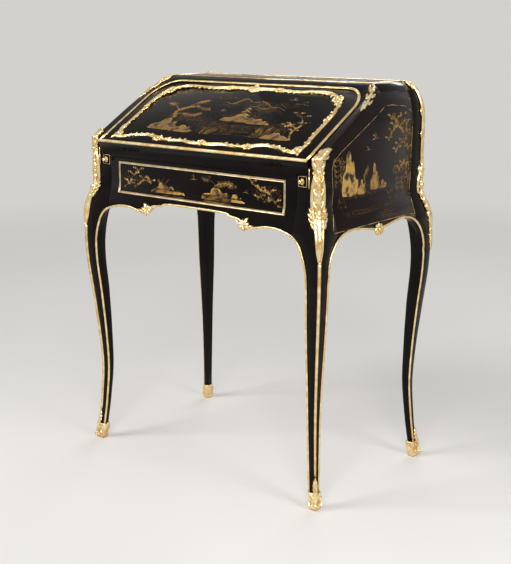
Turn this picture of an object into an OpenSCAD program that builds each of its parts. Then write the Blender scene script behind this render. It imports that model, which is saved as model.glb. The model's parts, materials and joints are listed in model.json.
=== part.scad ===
// Slant-front writing desk on cabriole legs, with bronze mounts.
// Origin on the floor under the middle of the case; X right, Y back, Z up; millimetres.

/* [Case] */
// Width of the straight part of the case
case_w = 634; // [580:1:700]
// Depth of the straight part of the case
case_d = 374; // [350:1:410]
// Height of the curved legs, up to where the case stands straight
leg_h = 628; // [590:1:670]
// Height of the case above the curved legs
case_h = 222; // [210:1:240]
// Height of the writing surface above the curved legs
write_rise = 72; // [68:1:80]
// Depth of the flat top
top_d = 119; // [100:1:130]
// Thickness of the side panels
side_t = 20; // [18:0.5:24]
// Thickness of the back panel
back_t = 20; // [16:0.5:22]
// Thickness of the top board
top_t = 18; // [14:0.5:22]
// Thickness of the writing board
board_t = 14; // [12:0.5:18]
// How far the sides roll in at the top
side_roll = 38; // [30:1:42]
// How far the back rolls in at the top
back_roll = 28; // [20:1:32]
// Height over which the sides and the back roll in
roll_h = 80; // [70:1:90]

/* [Legs] */
// How far the knee stands out from the case
knee_out = 17.7; // [14:0.1:20]
// How far the foot's corner stands out from the case
foot_out = 10; // [6:0.5:14]
// Side of the leg where it joins the case
leg_side = 44; // [40:0.5:48]
// Side of the leg at the ankle
ankle_side = 14; // [13:0.5:17]
// Width of the front stile beside the drawer
stile_w = 53.5; // [51:0.5:58]
// Height of the bronze cup that holds the foot
cup_h = 35; // [30:1:44]
// Side of the tenon at the foot
tenon_side = 8; // [6:0.5:9]

/* [Fall] */
// Thickness of the fall
fall_t = 14; // [12:0.5:16]
// Depth of the fixed strip above the fall
head_strip = 18; // [16:0.5:24]
// Half-width of the fall's rounded upper corners
fall_corner_w = 60; // [50:1:70]
// Length of the fall's rounded upper corners up the slope
fall_corner_l = 75; // [60:1:90]
// Running gap between the fall and the case
fall_gap = 0.8; // [0.5:0.1:1.5]
// Gap between the fall's side and the side panel
fall_side_gap = 2.5; // [1.5:0.1:3.5]
// How far the hinge line lies in front of the case
hinge_out = 3; // [2.5:0.1:5]
// Distance of each hinge's middle from the middle of the desk
hinge_x = 200; // [150:1:220]
// Width of a hinge
hinge_w = 48; // [36:1:60]
// Radius of a hinge pin
pin_r = 1.5; // [1.2:0.1:1.8]
// Radius of the hinge knuckles
knuckle_r = 3; // [2.6:0.1:3.4]
// Length of a hinge leaf
leaf_l = 24; // [18:1:28]
// Thickness of a hinge leaf
leaf_t = 1.5; // [1.2:0.1:2]
// Travel of the lock's bolt
bolt_travel = 6; // [4:0.5:7]

/* [Frieze drawer] */
// Thickness of the drawer front
front_t = 18; // [15:0.5:20]
// Gap round the drawer front
front_gap = 0.8; // [0.5:0.1:1.5]
// Thickness of the front rail above the drawer
rail_t = 6.6; // [6:0.1:9]
// Thickness of the dust board
dust_t = 6; // [5:0.5:8]
// Height of the dust board's top under the top of the curved legs
dust_drop = 26; // [24:1:28]
// Height of the drawer runners
runner_t = 4; // [3:0.5:6]
// Space left behind the drawer box
box_back_gap = 18; // [12:1:50]
// Thickness of the drawer sides
box_t = 10; // [8:0.5:12]
// Thickness of the drawer bottom
bottom_t = 5; // [4:0.5:6]

/* [Lopers] */
// Width of a loper
loper_w = 22; // [18:0.5:23]
// Height of a loper
loper_h = 22; // [18:0.5:23]
// Length of a loper
loper_l = 287; // [260:1:310]
// Sliding clearance round a loper
loper_gap = 0.5; // [0.4:0.1:0.8]
// Thickness of the baize pad on a loper
pad_t = 3.5; // [2.5:0.5:4]
// Length of the baize pad
pad_l = 26; // [20:1:40]
// How far the pad starts behind the front
pad_set = 3; // [1:0.5:6]
// Thickness of the loper guide's walls
guide_t = 2.5; // [2:0.1:3]

/* [Interior] */
// Height of the small drawers' space
nest_h = 37; // [33:1:38]
// Thickness of the nest's boards
nest_t = 6; // [5:0.5:8]
// Depth from the back of the case to the small drawers' fronts
nest_set = 212; // [204:1:217]
// Space left between the small drawers and the rear legs
nest_back_gap = 4; // [2:1:20]
// Number of pigeonholes
holes = 5; // [3:1:6]
// Wall thickness of the small drawers
nest_wall = 5; // [4:0.5:6]

/* [Bronze] */
// Width of the bead along legs and aprons
bead_w = 5; // [4:0.5:6]
// How far the bead stands out
bead_out = 2.5; // [2:0.1:3]
// Width of the ridge strip at the front legs' knees
ridge_w = 7; // [5:0.5:9]
// How far the ridge strip stands out
ridge_out = 3; // [2:0.1:3.5]
// How far the corner mounts stand out
mount_out = 5.5; // [4.5:0.1:6]
// Width of the foliate border on the fall
border_w = 10; // [8:0.5:12]
// How far the border stands out
border_out = 5; // [4:0.1:5]
// Height of the sabot's leaf above its cup
sabot_leaf = 36; // [26:1:42]

/* [Hidden] */
$fn = 48;
hw = case_w / 2;
hd = case_d / 2;
desk_h = leg_h + case_h;
write_z = leg_h + write_rise;
top_front = hd - back_roll - top_d;
hinge_y = -hd - hinge_out;

// Slope of the fall: its outer face lies its thickness off the hinge line and ends at the flat top.
slope_run = top_front - hinge_y;
slope_rise = desk_h - write_z;
slope_reach = norm([slope_run, slope_rise]);
slope = acos(fall_t / slope_reach) - atan2(slope_run, slope_rise);
slope_l = sqrt(slope_reach * slope_reach - fall_t * fall_t);
fall_l = slope_l - head_strip;
fall_hw = hw - side_t - fall_side_gap;
face_y0 = hinge_y - fall_t * sin(slope);
face_z0 = write_z + fall_t * cos(slope);

// Corner of the leg: share of the leg's height, and how far it stands out from the case.
leg_bow = [
    [0, foot_out], [0.075, foot_out * 0.45], [0.155, 0.4], [0.287, -3.2], [0.417, 0.4],
    [0.565, knee_out * 0.46], [0.704, knee_out * 0.9], [0.806, knee_out], [0.898, knee_out * 0.86],
    [0.952, knee_out * 0.38], [0.98, 1.2], [1, 0]
];
// Side of the leg: share of the leg's height, and its share of the way from ankle to case.
leg_taper = [
    [0, 0], [0.08, 0], [0.155, 0.03], [0.287, 0.1], [0.41, 0.2], [0.49, 0.3], [0.6, 0.43],
    [0.704, 0.5], [0.78, 0.57], [0.86, 0.73], [0.955, 1], [1, 1]
];
// Lower edge of the front apron: distance in from the case's side, height from the curved legs' top.
front_line = [
    [13.4, -138], [17.5, -118], [24, -98], [33, -79], [48, -64], [69, -56], [95, -51], [124, -51],
    [154, -56.5], [177, -56], [191, -44], [217, -40], [231, -35.5], [272, -34], [hw, -34]
];
// Lower edge of the side apron, in the same way from the case's front.
side_line = [
    [15, -138], [15, -123], [24, -98], [42, -76], [67, -64], [102, -60], [147, -66], [hd, -71]
];

function last(list) = list[len(list) - 1];
function span(t, z, i = 0) = i >= len(t) - 2 || z <= t[i + 1][0] ? i : span(t, z, i + 1);
function tangent(t, i) =
    let (a = t[max(i - 1, 0)], b = t[min(i + 1, len(t) - 1)]) (b[1] - a[1]) / (b[0] - a[0]);
// A smooth curve through a table's points, read at z.
function curve(t, z) =
    let (
        i = span(t, z), a = t[i], b = t[i + 1], h = b[0] - a[0], u = (z - a[0]) / h
    )
    (2 * u ^ 3 - 3 * u ^ 2 + 1) * a[1] + (u ^ 3 - 2 * u ^ 2 + u) * h * tangent(t, i)
    + (3 * u ^ 2 - 2 * u ^ 3) * b[1] + (u ^ 3 - u ^ 2) * h * tangent(t, i + 1);
// A smooth line through points, with n steps between each two.
function through(p, n) = [
    for (i = [0 : len(p) - 2], k = [0 : n - 1])
    let (
        a = p[max(i - 1, 0)], b = p[i], c = p[i + 1], d = p[min(i + 2, len(p) - 1)], u = k / n
    )
    b + (c - a) * u / 2 + (a * 2 - b * 5 + c * 4 - d) * u ^ 2 / 2 + (b * 3 - a - c * 3 + d) * u ^ 3 / 2,
    last(p)
];
function reversed(p) = [for (i = [len(p) - 1 : -1 : 0]) p[i]];
function along(p, i) = let (v = p[min(i + 1, len(p) - 1)] - p[max(i - 1, 0)]) v / norm(v);
function aside(p, d) = [for (i = [0 : len(p) - 1]) let (v = along(p, i)) p[i] + [-v[1], v[0]] * d];
// The outline of a band between two offsets of a line.
function band(p, d0, d1) = concat(aside(p, d0), reversed(aside(p, d1)));

// Levels at which the curved faces have their edges, so that all that lies on them fits flush.
level_n = 52;
levels = [for (i = [0 : level_n]) leg_h * i / level_n];
roll_n = 14;
roll_levels = [for (i = [0 : roll_n]) desk_h - roll_h + roll_h * sin(90 * i / roll_n)];
function bow(z) = z >= leg_h ? 0 : curve(leg_bow, z / leg_h);
function side_at(z) =
    z >= leg_h ? leg_side : ankle_side + (leg_side - ankle_side) * curve(leg_taper, z / leg_h);
function rolled(z, w) =
    let (u = (z - desk_h + roll_h) / roll_h) u <= 0 ? 0 : w * (1 - sqrt(max(0, 1 - u * u)));
function side_x(z) = hw + bow(z) - rolled(z, side_roll);
function back_y(z) = hd + bow(z) - rolled(z, back_roll);
function slope_y(z) = face_y0 + (z - face_z0) / tan(slope);

// Joins rings of points into one closed solid; every ring has as many points.
module skin(rings) {
    m = len(rings[0]);
    n = len(rings);
    quads = [for (k = [0 : n - 2], i = [0 : m - 1])
        let (j = (i + 1) % m) [k * m + i, (k + 1) * m + i, (k + 1) * m + j, k * m + j]];
    sides = [for (q = quads) each [[q[0], q[1], q[2]], [q[0], q[2], q[3]]]];
    polyhedron(
        [for (r = rings) each r],
        concat([[for (i = [0 : m - 1]) i]], sides, [[for (i = [m - 1 : -1 : 0]) (n - 1) * m + i]]),
        convexity = 8
    );
}

module both_sides() {
    children();
    mirror([1, 0, 0]) children();
}
module block(x, y, z) {
    translate([x[0], y[0], z[0]]) cube([x[1] - x[0], y[1] - y[0], z[1] - z[0]]);
}
// A flat outline in X and Z, through the desk from y0 to y1.
module through_y(y0, y1) {
    translate([0, y1, 0]) rotate([90, 0, 0]) linear_extrude(y1 - y0) children();
}
// A flat outline in Y and Z, through the desk from x0 to x1.
module through_x(x0, x1) {
    translate([x0, 0, 0]) rotate([90, 0, 90]) linear_extrude(x1 - x0) children();
}
// Turns to the fall's own frame: Y up the slope from the hinge line, Z out of its face.
module on_fall() {
    translate([0, hinge_y, write_z]) rotate([slope, 0, 0]) children();
}

// Colours, as the photograph shows them.
lacquer = "#16120f";
walnut = "#7b4b2a";
gilt = "#d9a84e";
pale_brass = "#cdb98a";
leather = "#5a2718";
steel = "#8d9094";
baize = "#2d5a3c";

// The faces between two levels are flat, and so is all that lies on them.
bow_table = [for (z = levels) [z, bow(z)]];
side_table = [for (z = levels) [z, side_at(z)]];
function bow_flat(z) = lookup(z, bow_table);
function side_flat(z) = lookup(z, side_table);
function stretch(z0, z1) = concat([z0], [for (z = levels) if (z > z0 + 1 && z < z1 - 1) z], [z1]);
// A cross-section that follows a curved face, from p0 to p1 outside it.
function shell(half, p0, p1, z0, z1) =
    let (zs = stretch(z0, z1))
    concat(
        [for (z = zs) [half + bow_flat(z) + p1, z]],
        [for (z = reversed(zs)) [half + bow_flat(z) + p0, z]]
    );
far = 60;
// Cuts a flat outline, drawn in X and Z, to a layer on the front.
module on_front(p0, p1, z0, z1) {
    intersection() {
        through_y(-hd - far, -hd + far) children();
        through_x(-hw - far, hw + far) polygon([for (q = shell(hd, p0, p1, z0, z1)) [-q[0], q[1]]]);
    }
}
// Cuts a flat outline, drawn in Y and Z, to a layer on the right side.
module on_side(p0, p1, z0, z1) {
    intersection() {
        through_x(hw - far, hw + far) children();
        through_y(-hd - far, hd + far) polygon(shell(hw, p0, p1, z0, z1));
    }
}

line_steps = 4;
function placed(line, half) = [for (p = line) [half - p[0], leg_h + p[1]]];
function mirrored(p) = [for (i = [len(p) - 2 : -1 : 0]) [-p[i][0], p[i][1]]];
front_half = through(placed(front_line, hw), line_steps);
side_half = through(placed(side_line, hd), line_steps);
front_edge = concat(front_half, mirrored(front_half));
side_edge = concat(side_half, mirrored(side_half));
line_z0 = front_half[0][1];
bracket_out = 96;
side_bracket_out = 60;
front_rise = [for (q = front_half) if (q[0] > hw - bracket_out) [q[1], q[0]]];
side_rise = [for (q = side_half) if (q[0] > hd - side_bracket_out) [q[1], q[0]]];

// Inner edges of the leg's two faces, where the brackets widen them to meet the aprons.
stile_x = hw - stile_w;
post_y = hd - leg_side;
function face_x(z) =
    let (own = hw + bow(z) - side_at(z))
    z < line_z0 ? own : max(stile_x, min(own, lookup(z, front_rise)));
function face_y(z) =
    let (own = hd + bow(z) - side_at(z))
    z < line_z0 ? own : max(post_y, min(own, lookup(z, side_rise)));

post_top = write_z - board_t;
under_top = desk_h - top_t;
bracket_run = 10;
edge_t = 1.5;
hollow = 0.3;
function thick(a, b) = edge_t + (a / 2 - edge_t) * min(1, max(0, b) / bracket_run);
// Lopers lie between the drawer and the side panels, with their pads just under the open fall.
pad_gap = 0.3;
loper_z1 = write_z - max(fall_t, board_t) - pad_gap - pad_t;
loper_z0 = loper_z1 - loper_h;
guide_base = loper_z0 - loper_gap;
guide_x0 = stile_x;
loper_x0 = guide_x0 + guide_t + loper_gap;
loper_x1 = loper_x0 + loper_w;

// One cross-section of a leg at the rear right: the two outer faces meet in a sharp ridge, and
// the inner faces are planed a little hollow.
function leg_ring(z) =
    let (
        a = side_at(z),
        cx = side_x(z),
        cy = back_y(z),
        ix = hw + bow(z) - a,
        iy = hd + bow(z) - a,
        fx = face_x(z),
        fy = face_y(z)
    ) [
        [cx, cy, z],
        [fx, cy, z],
        [fx, iy + a - thick(a, ix - fx), z],
        [ix + hollow, iy + a / 2, z],
        [ix, iy, z],
        [ix + a / 2, iy + hollow, z],
        [cx - thick(a, iy - fy), fy, z],
        [cx, fy, z]
    ];
module leg(zs) {
    skin([for (z = zs) leg_ring(z)]);
    a = side_at(cup_h);
    cx = hw + bow(cup_h) - a / 2;
    cy = hd + bow(cup_h) - a / 2;
    r = tenon_side / 2;
    block([cx - r, cx + r], [cy - r, cy + r], [tenon_z0, cup_h + tenon_side]);
}
tenon_z0 = 14;
rest_levels = [for (z = levels) if (z > cup_h + 3 && z < leg_h - 1) z];
front_leg_z = concat([cup_h], rest_levels, [leg_h, guide_base]);
low_roll = [for (z = roll_levels) if (z < under_top - 1) z];
rear_leg_z = concat([cup_h], rest_levels, [leg_h], low_roll, [under_top]);

module right_front_leg() color(lacquer) mirror([0, 1, 0]) leg(front_leg_z);
module left_front_leg() mirror([1, 0, 0]) right_front_leg();
module right_rear_leg() color(lacquer) leg(rear_leg_z);
module left_rear_leg() mirror([1, 0, 0]) right_rear_leg();

inner_x = hw - side_t;
inner_y = hd - back_t;

// The case's rolled top, seen from the front and from the side.
function upper(z0) = concat([z0], [for (z = roll_levels) if (z > z0 + 1) z]);
module side_panel() {
    zs = concat(stretch(line_z0, leg_h), upper(leg_h + 1));
    outer = [for (z = zs) if (side_x(z) > inner_x + 1) [side_x(z), z]];
    inner = [for (z = reversed(stretch(line_z0, leg_h))) [inner_x + bow_flat(z), z]];
    slope_foot = face_z0 + (-hd - face_y0) * tan(slope);
    color(lacquer) difference() {
        intersection() {
            through_y(-hd, hd) polygon(concat(outer, [[inner_x, last(outer)[1]]], inner));
            through_x(inner_x - 1, hw + far) polygon(concat(
                side_edge,
                [[-hd, line_z0], [-hd, slope_foot], [top_front, desk_h], [hd, desk_h], [hd, line_z0]]
            ));
        }
        block([0, hw + far], [-hd - 1, -post_y], [0, guide_base]);
        block([0, hw + far], [post_y, hd + 1], [0, desk_h + 1]);
        block([0, hw + far], [top_front, hd], [under_top, desk_h + 1]);
    }
}
module right_side_panel() side_panel();
module left_side_panel() mirror([1, 0, 0]) side_panel();

module back_panel() {
    zs = concat(stretch(line_z0, leg_h), low_roll, [under_top]);
    outer = [for (z = zs) [z > leg_h ? back_y(z) : hd + bow_flat(z), z]];
    inner = [for (z = reversed(stretch(line_z0, leg_h))) [inner_y + bow_flat(z), z]];
    color(lacquer) intersection() {
        through_x(-stile_x, stile_x) polygon(concat(outer, [[inner_y, under_top]], inner));
        through_y(0, hd + far) polygon(concat(front_edge, [[-hw, under_top], [hw, under_top]]));
    }
}
// The rolled outline of the case from above z0, drawn in X and Z.
function roof(z0) =
    let (right = [for (z = upper(z0)) [side_x(z), z]])
    concat(right, [for (q = reversed(right)) [-q[0], q[1]]]);
module top_board() {
    color(lacquer) intersection() {
        through_y(top_front, hd) polygon(roof(under_top));
        through_x(-hw, hw) polygon(concat(
            [[top_front, desk_h], [top_front, under_top]],
            [for (z = upper(under_top)) [back_y(z), z]]
        ));
    }
}

// The outline of the fall in its own frame, grown by g; its upper corners are quarter ellipses.
corner_n = 10;
function fall_outline(g, u0) =
    let (w = fall_hw + g, l = fall_l + g, cu = fall_l - fall_corner_l, cw = fall_hw - fall_corner_w)
    concat(
        [[w, u0]],
        [for (i = [0 : corner_n])
            let (t = 90 * i / corner_n)
            [cw + (fall_corner_w + g) * cos(t), cu + (l - cu) * sin(t)]]
    );
function whole(p) = concat(p, [for (q = reversed(p)) [-q[0], q[1]]]);

rail_lip = 10;
rail_drop = 14;
lip_gap = 0.4;
strike_t = 1.2;
strike_hw = 22;
strike_w0 = 1;
bolt_hw = 9;
bolt_w0 = 3;
bolt_h = 6;
module strike_space() {
    block([-strike_hw, strike_hw], [fall_l, fall_l + fall_gap + strike_t], [strike_w0, fall_t - 2]);
}
module bolt_space(clear) {
    block(
        [-bolt_hw - clear, bolt_hw + clear],
        [fall_l - 1, fall_l + fall_gap + bolt_travel + 1],
        [bolt_w0 - clear, bolt_w0 + bolt_h + clear]
    );
}
module head_rail() {
    slab_u0 = fall_l - fall_corner_l;
    color(lacquer) intersection() {
        on_fall() difference() {
            union() {
                linear_extrude(fall_t) difference() {
                    translate([-inner_x, slab_u0]) square([2 * inner_x, slope_l + far - slab_u0]);
                    polygon(whole(fall_outline(fall_gap, 0)));
                }
                through_x(-inner_x, inner_x) polygon([
                    [fall_l - rail_lip, -lip_gap], [fall_l + fall_gap, -lip_gap],
                    [fall_l + fall_gap, 2], [slope_l + far, 2],
                    [slope_l + far, -rail_drop * 3], [fall_l - rail_lip, -rail_drop]
                ]);
            }
            strike_space();
            bolt_space(0.5);
        }
        through_y(-hd, top_front) polygon(roof(post_top));
    }
}
module strike_plate() {
    color(gilt) on_fall() difference() {
        block(
            [-strike_hw, strike_hw],
            [fall_l + fall_gap, fall_l + fall_gap + strike_t],
            [strike_w0, fall_t - 2]
        );
        bolt_space(0.5);
    }
}

// Boards that lie between the side panels and clear the rear legs.
module shelf_outline(y0) {
    polygon([
        [-inner_x, y0], [inner_x, y0], [inner_x, post_y], [stile_x, post_y],
        [stile_x, inner_y], [-stile_x, inner_y], [-stile_x, post_y], [-inner_x, post_y]
    ]);
}
board_gap = 0.5;
hinge_clear = 0.3;
module at_hinges() {
    for (s = [-1, 1]) translate([s * hinge_x, hinge_y, write_z]) children();
}
module barrel(r, x0, x1) {
    translate([x0, 0, 0]) rotate([0, 90, 0]) cylinder(r = r, h = x1 - x0);
}
module writing_board() {
    color(walnut) difference() {
        translate([0, 0, post_top]) linear_extrude(board_t) shelf_outline(hinge_y + board_gap);
        at_hinges() {
            barrel(knuckle_r + hinge_clear, -hinge_w / 2 - hinge_clear, hinge_w / 2 + hinge_clear);
            block([-hinge_w / 2, hinge_w / 2], [0, leaf_l], [-leaf_t, 1]);
        }
    }
}
drawer_hw = stile_x - front_gap;
drawer_top = post_top - rail_t - front_gap;
module front_rail() {
    color(lacquer) block([-stile_x, stile_x], [-hd, -hd + leg_side], [post_top - rail_t, post_top]);
}
dust_z1 = leg_h - dust_drop;
dust_y0 = -hd + front_t + 3;
module dust_board() {
    color(walnut) translate([0, 0, dust_z1 - dust_t]) linear_extrude(dust_t) polygon([
        [-inner_x, -post_y], [-stile_x, -post_y], [-stile_x, dust_y0], [stile_x, dust_y0],
        [stile_x, -post_y], [inner_x, -post_y], [inner_x, post_y], [stile_x, post_y],
        [stile_x, inner_y], [-stile_x, inner_y], [-stile_x, post_y], [-inner_x, post_y]
    ]);
}
runner_w = 26;
module drawer_runners() {
    color(walnut) both_sides()
        block([drawer_hw - runner_w, drawer_hw], [dust_y0, inner_y], [dust_z1, dust_z1 + runner_t]);
}
// A deep rail on the dust board, whose two walls reach over the front leg on either side of the loper.
module loper_guides() {
    color(walnut) both_sides() difference() {
        union() {
            block([guide_x0, inner_x], [-post_y, post_y], [dust_z1, post_top]);
            block([guide_x0, inner_x], [-hd, -post_y + 1], [guide_base, post_top]);
        }
        block([guide_x0 + guide_t, loper_x1 + loper_gap], [-hd - 1, post_y + 1], [guide_base, post_top + 1]);
        block([0, guide_x0 + guide_t + 1], [-hd - 1, -hd + leg_side], [post_top - rail_t, post_top + 1]);
    }
}

// Nest of small drawers and pigeonholes at the back of the writing board.
nest_z = write_z + nest_h;
nest_front = hd - nest_set;
mid_hw = 95;
module nest_shelf() {
    color(walnut) translate([0, 0, nest_z]) linear_extrude(nest_t) shelf_outline(nest_front);
}
upright_back = 8;
upright_gap = 1;
upright_nose = 30;
module nest_uprights() {
    color(walnut) {
        both_sides() block([mid_hw, mid_hw + nest_t], [nest_front, inner_y], [write_z, nest_z]);
        for (i = [1 : holes - 1]) {
            x = -inner_x + 2 * inner_x * i / holes;
            through_x(x - nest_t / 2, x + nest_t / 2) polygon([
                [nest_front + upright_back, nest_z + nest_t], [inner_y, nest_z + nest_t],
                [inner_y, under_top], [top_front + upright_gap, under_top],
                [top_front + upright_gap, under_top - upright_nose]
            ]);
        }
    }
}

// Frieze drawer: its front carries the middle of the shaped apron and is pulled by that edge.
box_gap = 0.3;
box_side_gap = 7;
box_top_gap = 4.5;
drawer_z0 = dust_z1 + runner_t + box_gap;
box_hw = drawer_hw - box_side_gap;
box_y0 = -hd + front_t;
box_y1 = inner_y - box_back_gap;
module frieze_region() {
    polygon(concat(front_edge, [[-hw, drawer_top], [hw, drawer_top]]));
}
module within_drawer() {
    intersection() {
        children();
        block([-drawer_hw, drawer_hw], [-hd - far, hd], [0, drawer_top]);
    }
}
module beside_drawer() {
    both_sides() intersection() {
        children();
        block([stile_x, hw + far], [-hd - far, hd], [0, desk_h]);
    }
}
module frieze_front() {
    color(lacquer) within_drawer() on_front(-front_t, 0, line_z0, drawer_top) frieze_region();
}
module frieze_box() {
    color(walnut) difference() {
        block([-box_hw, box_hw], [box_y0, box_y1], [drawer_z0, drawer_top - box_top_gap]);
        block(
            [-box_hw + box_t, box_hw - box_t],
            [box_y0 + box_t, box_y1 - box_t],
            [drawer_z0 + bottom_t, drawer_top]
        );
    }
}
frame_bar = 5;
frame_inset = 26;
frame_top_gap = 7;
frame_drop = 26.5;
frame_z1 = drawer_top - frame_top_gap;
frame_z0 = leg_h - frame_drop;
frame_out = 1.5;
module frieze_frame() {
    x = drawer_hw - frame_inset;
    color(pale_brass) on_front(0, frame_out, frame_z0 - 1, frame_z1 + 1) difference() {
        translate([-x, frame_z0]) square([2 * x, frame_z1 - frame_z0]);
        translate([-x + frame_bar, frame_z0 + frame_bar])
            square([2 * (x - frame_bar), frame_z1 - frame_z0 - 2 * frame_bar]);
    }
}

// Leafy outlines for clasps: lobes around an oval.
module lobed(w, h, lobes, depth = 0.14) {
    polygon([for (t = [0 : 10 : 350])
        let (r = 1 - depth + depth * cos(lobes * t)) [w / 2 * r * cos(t), h / 2 * r * sin(t)]]);
}
clasp_w = 32;
clasp_h = 25;
clasp_out = 4;
front_clasp_in = 177;
front_clasp_drop = 56;
side_clasp_drop = 69;
front_clasp_x = hw - front_clasp_in;
front_clasp_z = leg_h - front_clasp_drop;
side_clasp_z = leg_h - side_clasp_drop;
module front_clasp_places() {
    for (s = [-1, 1]) translate([s * front_clasp_x, front_clasp_z]) lobed(clasp_w, clasp_h, 5);
}
module side_clasp_place() {
    translate([0, side_clasp_z]) lobed(clasp_w, clasp_h, 5);
}

// The bead's line runs up a leg's inner edge, along the apron and down the other leg.
trim_gap = 1;
trim_z0 = cup_h + trim_gap;
trim_drop = 20;
trim_z1 = leg_h - trim_drop;
function rise(half, line) = concat(
    [for (z = stretch(trim_z0, line_z0 - 4)) [half + bow_flat(z) - side_flat(z), z]],
    line
);
front_trim = rise(hw, front_half);
side_trim = rise(hd, side_half);
module trim(half_line) {
    p = concat(half_line, mirrored(half_line));
    polygon(band(p, 0, -bead_w));
}
module front_bead() {
    on_front(0, bead_out, trim_z0, trim_z1) difference() {
        trim(front_trim);
        front_clasp_places();
    }
}
module frieze_bead() {
    color(gilt) within_drawer() front_bead();
}
module frieze_clasps() {
    color(gilt) on_front(0, clasp_out, front_clasp_z - clasp_h, front_clasp_z + clasp_h)
        front_clasp_places();
}
// The beads on the front legs, and a short upright bar beside each loper.
bar_w = 2;
bar_out = 4;
module front_beads() {
    color(gilt) {
        beside_drawer() front_bead();
        both_sides() {
            block([inner_x - bar_w, inner_x], [-hd - bar_out, -hd], [guide_base, post_top]);
            block(
                [inner_x - bar_w, inner_x],
                [-hd - bar_out, hinge_y + board_gap],
                [post_top, write_z - 1]
            );
        }
    }
}
module side_beads() {
    color(gilt) both_sides() on_side(0, bead_out, trim_z0, trim_z1) difference() {
        trim(side_trim);
        side_clasp_place();
    }
}
module side_clasps() {
    color(gilt) both_sides()
        on_side(0, clasp_out, side_clasp_z - clasp_h, side_clasp_z + clasp_h) side_clasp_place();
}
line_w = 4.5;
line_t = 2;
line_inset = 0.5;
module top_bead() {
    x = hw - side_roll - line_inset;
    y0 = top_front + line_inset;
    y1 = hd - back_roll - line_inset;
    color(gilt) difference() {
        block([-x, x], [y0, y1], [desk_h, desk_h + line_t]);
        block([-x + line_w, x - line_w], [y0 + line_w, y1 - line_w], [desk_h - 1, desk_h + line_t + 1]);
    }
}

// A strip of bronze wrapped round a ridge at q: f across each face and p out of it.
function wrap(f, p) = [
    [0, -f], [0.7 * p, -0.85 * f], [p, -0.4 * f], [0.75 * p, 0.75 * p],
    [-0.4 * f, p], [-0.85 * f, 0.7 * p], [-f, 0], [0, 0]
];
function ring_at(q, w, n) = [for (c = w) q + [c[0], n[0] * c[1], n[1] * c[1]]];
function column(t, k) = [for (q = t) [q[0], q[k]]];
// Width and height of a mount, at heights counted from the top of the curved legs.
knee_mount = [
    [-108, 1.5, 0.2], [-96, 7, 0.55], [-76, 11, 0.65], [-58, 16, 0.75], [-44, 22, 0.9],
    [-30, 26, 1.1], [-16, 22, 1], [0, 19, 0.9], [22, 17, 0.9], [44, 19, 1], [62, 19.5, 1], [200, 19.5, 1]
];
tail_mount = [
    [-142, 1.5, 0.2], [-128, 6, 0.5], [-108, 8, 0.6], [-84, 9, 0.65], [-58, 11, 0.75],
    [-38, 15, 0.85], [-27, 18, 0.95], [-13, 20, 1], [12, 18, 0.95], [27, 21, 1.1], [40, 12, 0.85],
    [62, 8, 0.75], [142, 8, 0.75], [200, 7, 0.75]
];
function mount_wrap(t, h) = wrap(lookup(h, column(t, 1)), mount_out * lookup(h, column(t, 2)));
// The front mount climbs the corner post and the side panel, then turns back on to the slope.
leaf_turn = [[14, 18, 1], [26, 14, 0.9], [38, 8, 0.7], [49, 1.5, 0.3]];
turn_l = 13;
post_mount_h = 100;
function mount_levels(t) = concat(
    stretch(leg_h + t[0][0], leg_h),
    [for (row = t) if (row[0] > 0 && row[0] < post_mount_h) leg_h + row[0]]
);
module front_mount() {
    foot = face_z0 + (-hd - face_y0) * tan(slope);
    zs = concat(mount_levels(knee_mount), [foot - turn_l]);
    out = [sin(slope), cos(slope)];
    mid = ([1, 0] + out) / (1 + out[0]);
    color(gilt) mirror([0, 1, 0]) skin(concat(
        [for (z = zs)
            ring_at([hw + bow_flat(z), hd + bow_flat(z), z], mount_wrap(knee_mount, z - leg_h), [1, 0])],
        [ring_at([hw, hd, foot], mount_wrap(knee_mount, foot - leg_h), mid)],
        [for (s = leaf_turn)
            ring_at(
                [hw, hd - s[0] * cos(slope), foot + s[0] * sin(slope)],
                wrap(s[1], mount_out * s[2]),
                out
            )]
    ));
}
mount_top_gap = 4;
module rear_mount() {
    zs = concat(
        mount_levels(tail_mount),
        low_roll,
        [under_top],
        [for (z = roll_levels) if (z > under_top + 1 && z < desk_h - mount_top_gap) z]
    );
    color(gilt) skin([for (z = zs)
        ring_at([side_x(z), back_y(z), z], mount_wrap(tail_mount, z - leg_h), [1, 0])]);
}
module right_front_mount() front_mount();
module left_front_mount() mirror([1, 0, 0]) front_mount();
module right_rear_mount() rear_mount();
module left_rear_mount() mirror([1, 0, 0]) rear_mount();

// Slim mounts at the head of each sloping edge, where the side begins to roll in.
head_mount_l = 56;
head_mount_f = 7;
head_mount_p = 3.5;
module head_mounts() {
    zs = [for (z = roll_levels) if (z > desk_h - head_mount_l && z < desk_h - mount_top_gap) z];
    n = len(zs) - 1;
    color(gilt) both_sides() mirror([0, 1, 0]) skin([for (i = [0 : n])
        let (
            z = zs[i],
            k = 0.35 + 0.65 * sin(180 * i / n),
            f = head_mount_f * k,
            p = head_mount_p * k
        )
        [for (c = wrap(f, p)) [side_x(z) + c[0], -slope_y(z) + (c[1] > 0 ? 2 * c[1] : c[1]), z]]]);
}

// The strip along each front leg's ridge, from the sabot to the corner mount.
module ridge_strips() {
    z0 = cup_h + sabot_leaf + trim_gap;
    zs = stretch(z0, leg_h + knee_mount[0][0] - trim_gap);
    color(gilt) both_sides() mirror([0, 1, 0]) skin([for (z = zs)
        let (w = wrap(ridge_w * (0.55 + 0.45 * (z - z0) / leg_h), ridge_out))
        ring_at([hw + bow_flat(z), hd + bow_flat(z), z], w, [1, 0])]);
}

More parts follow.
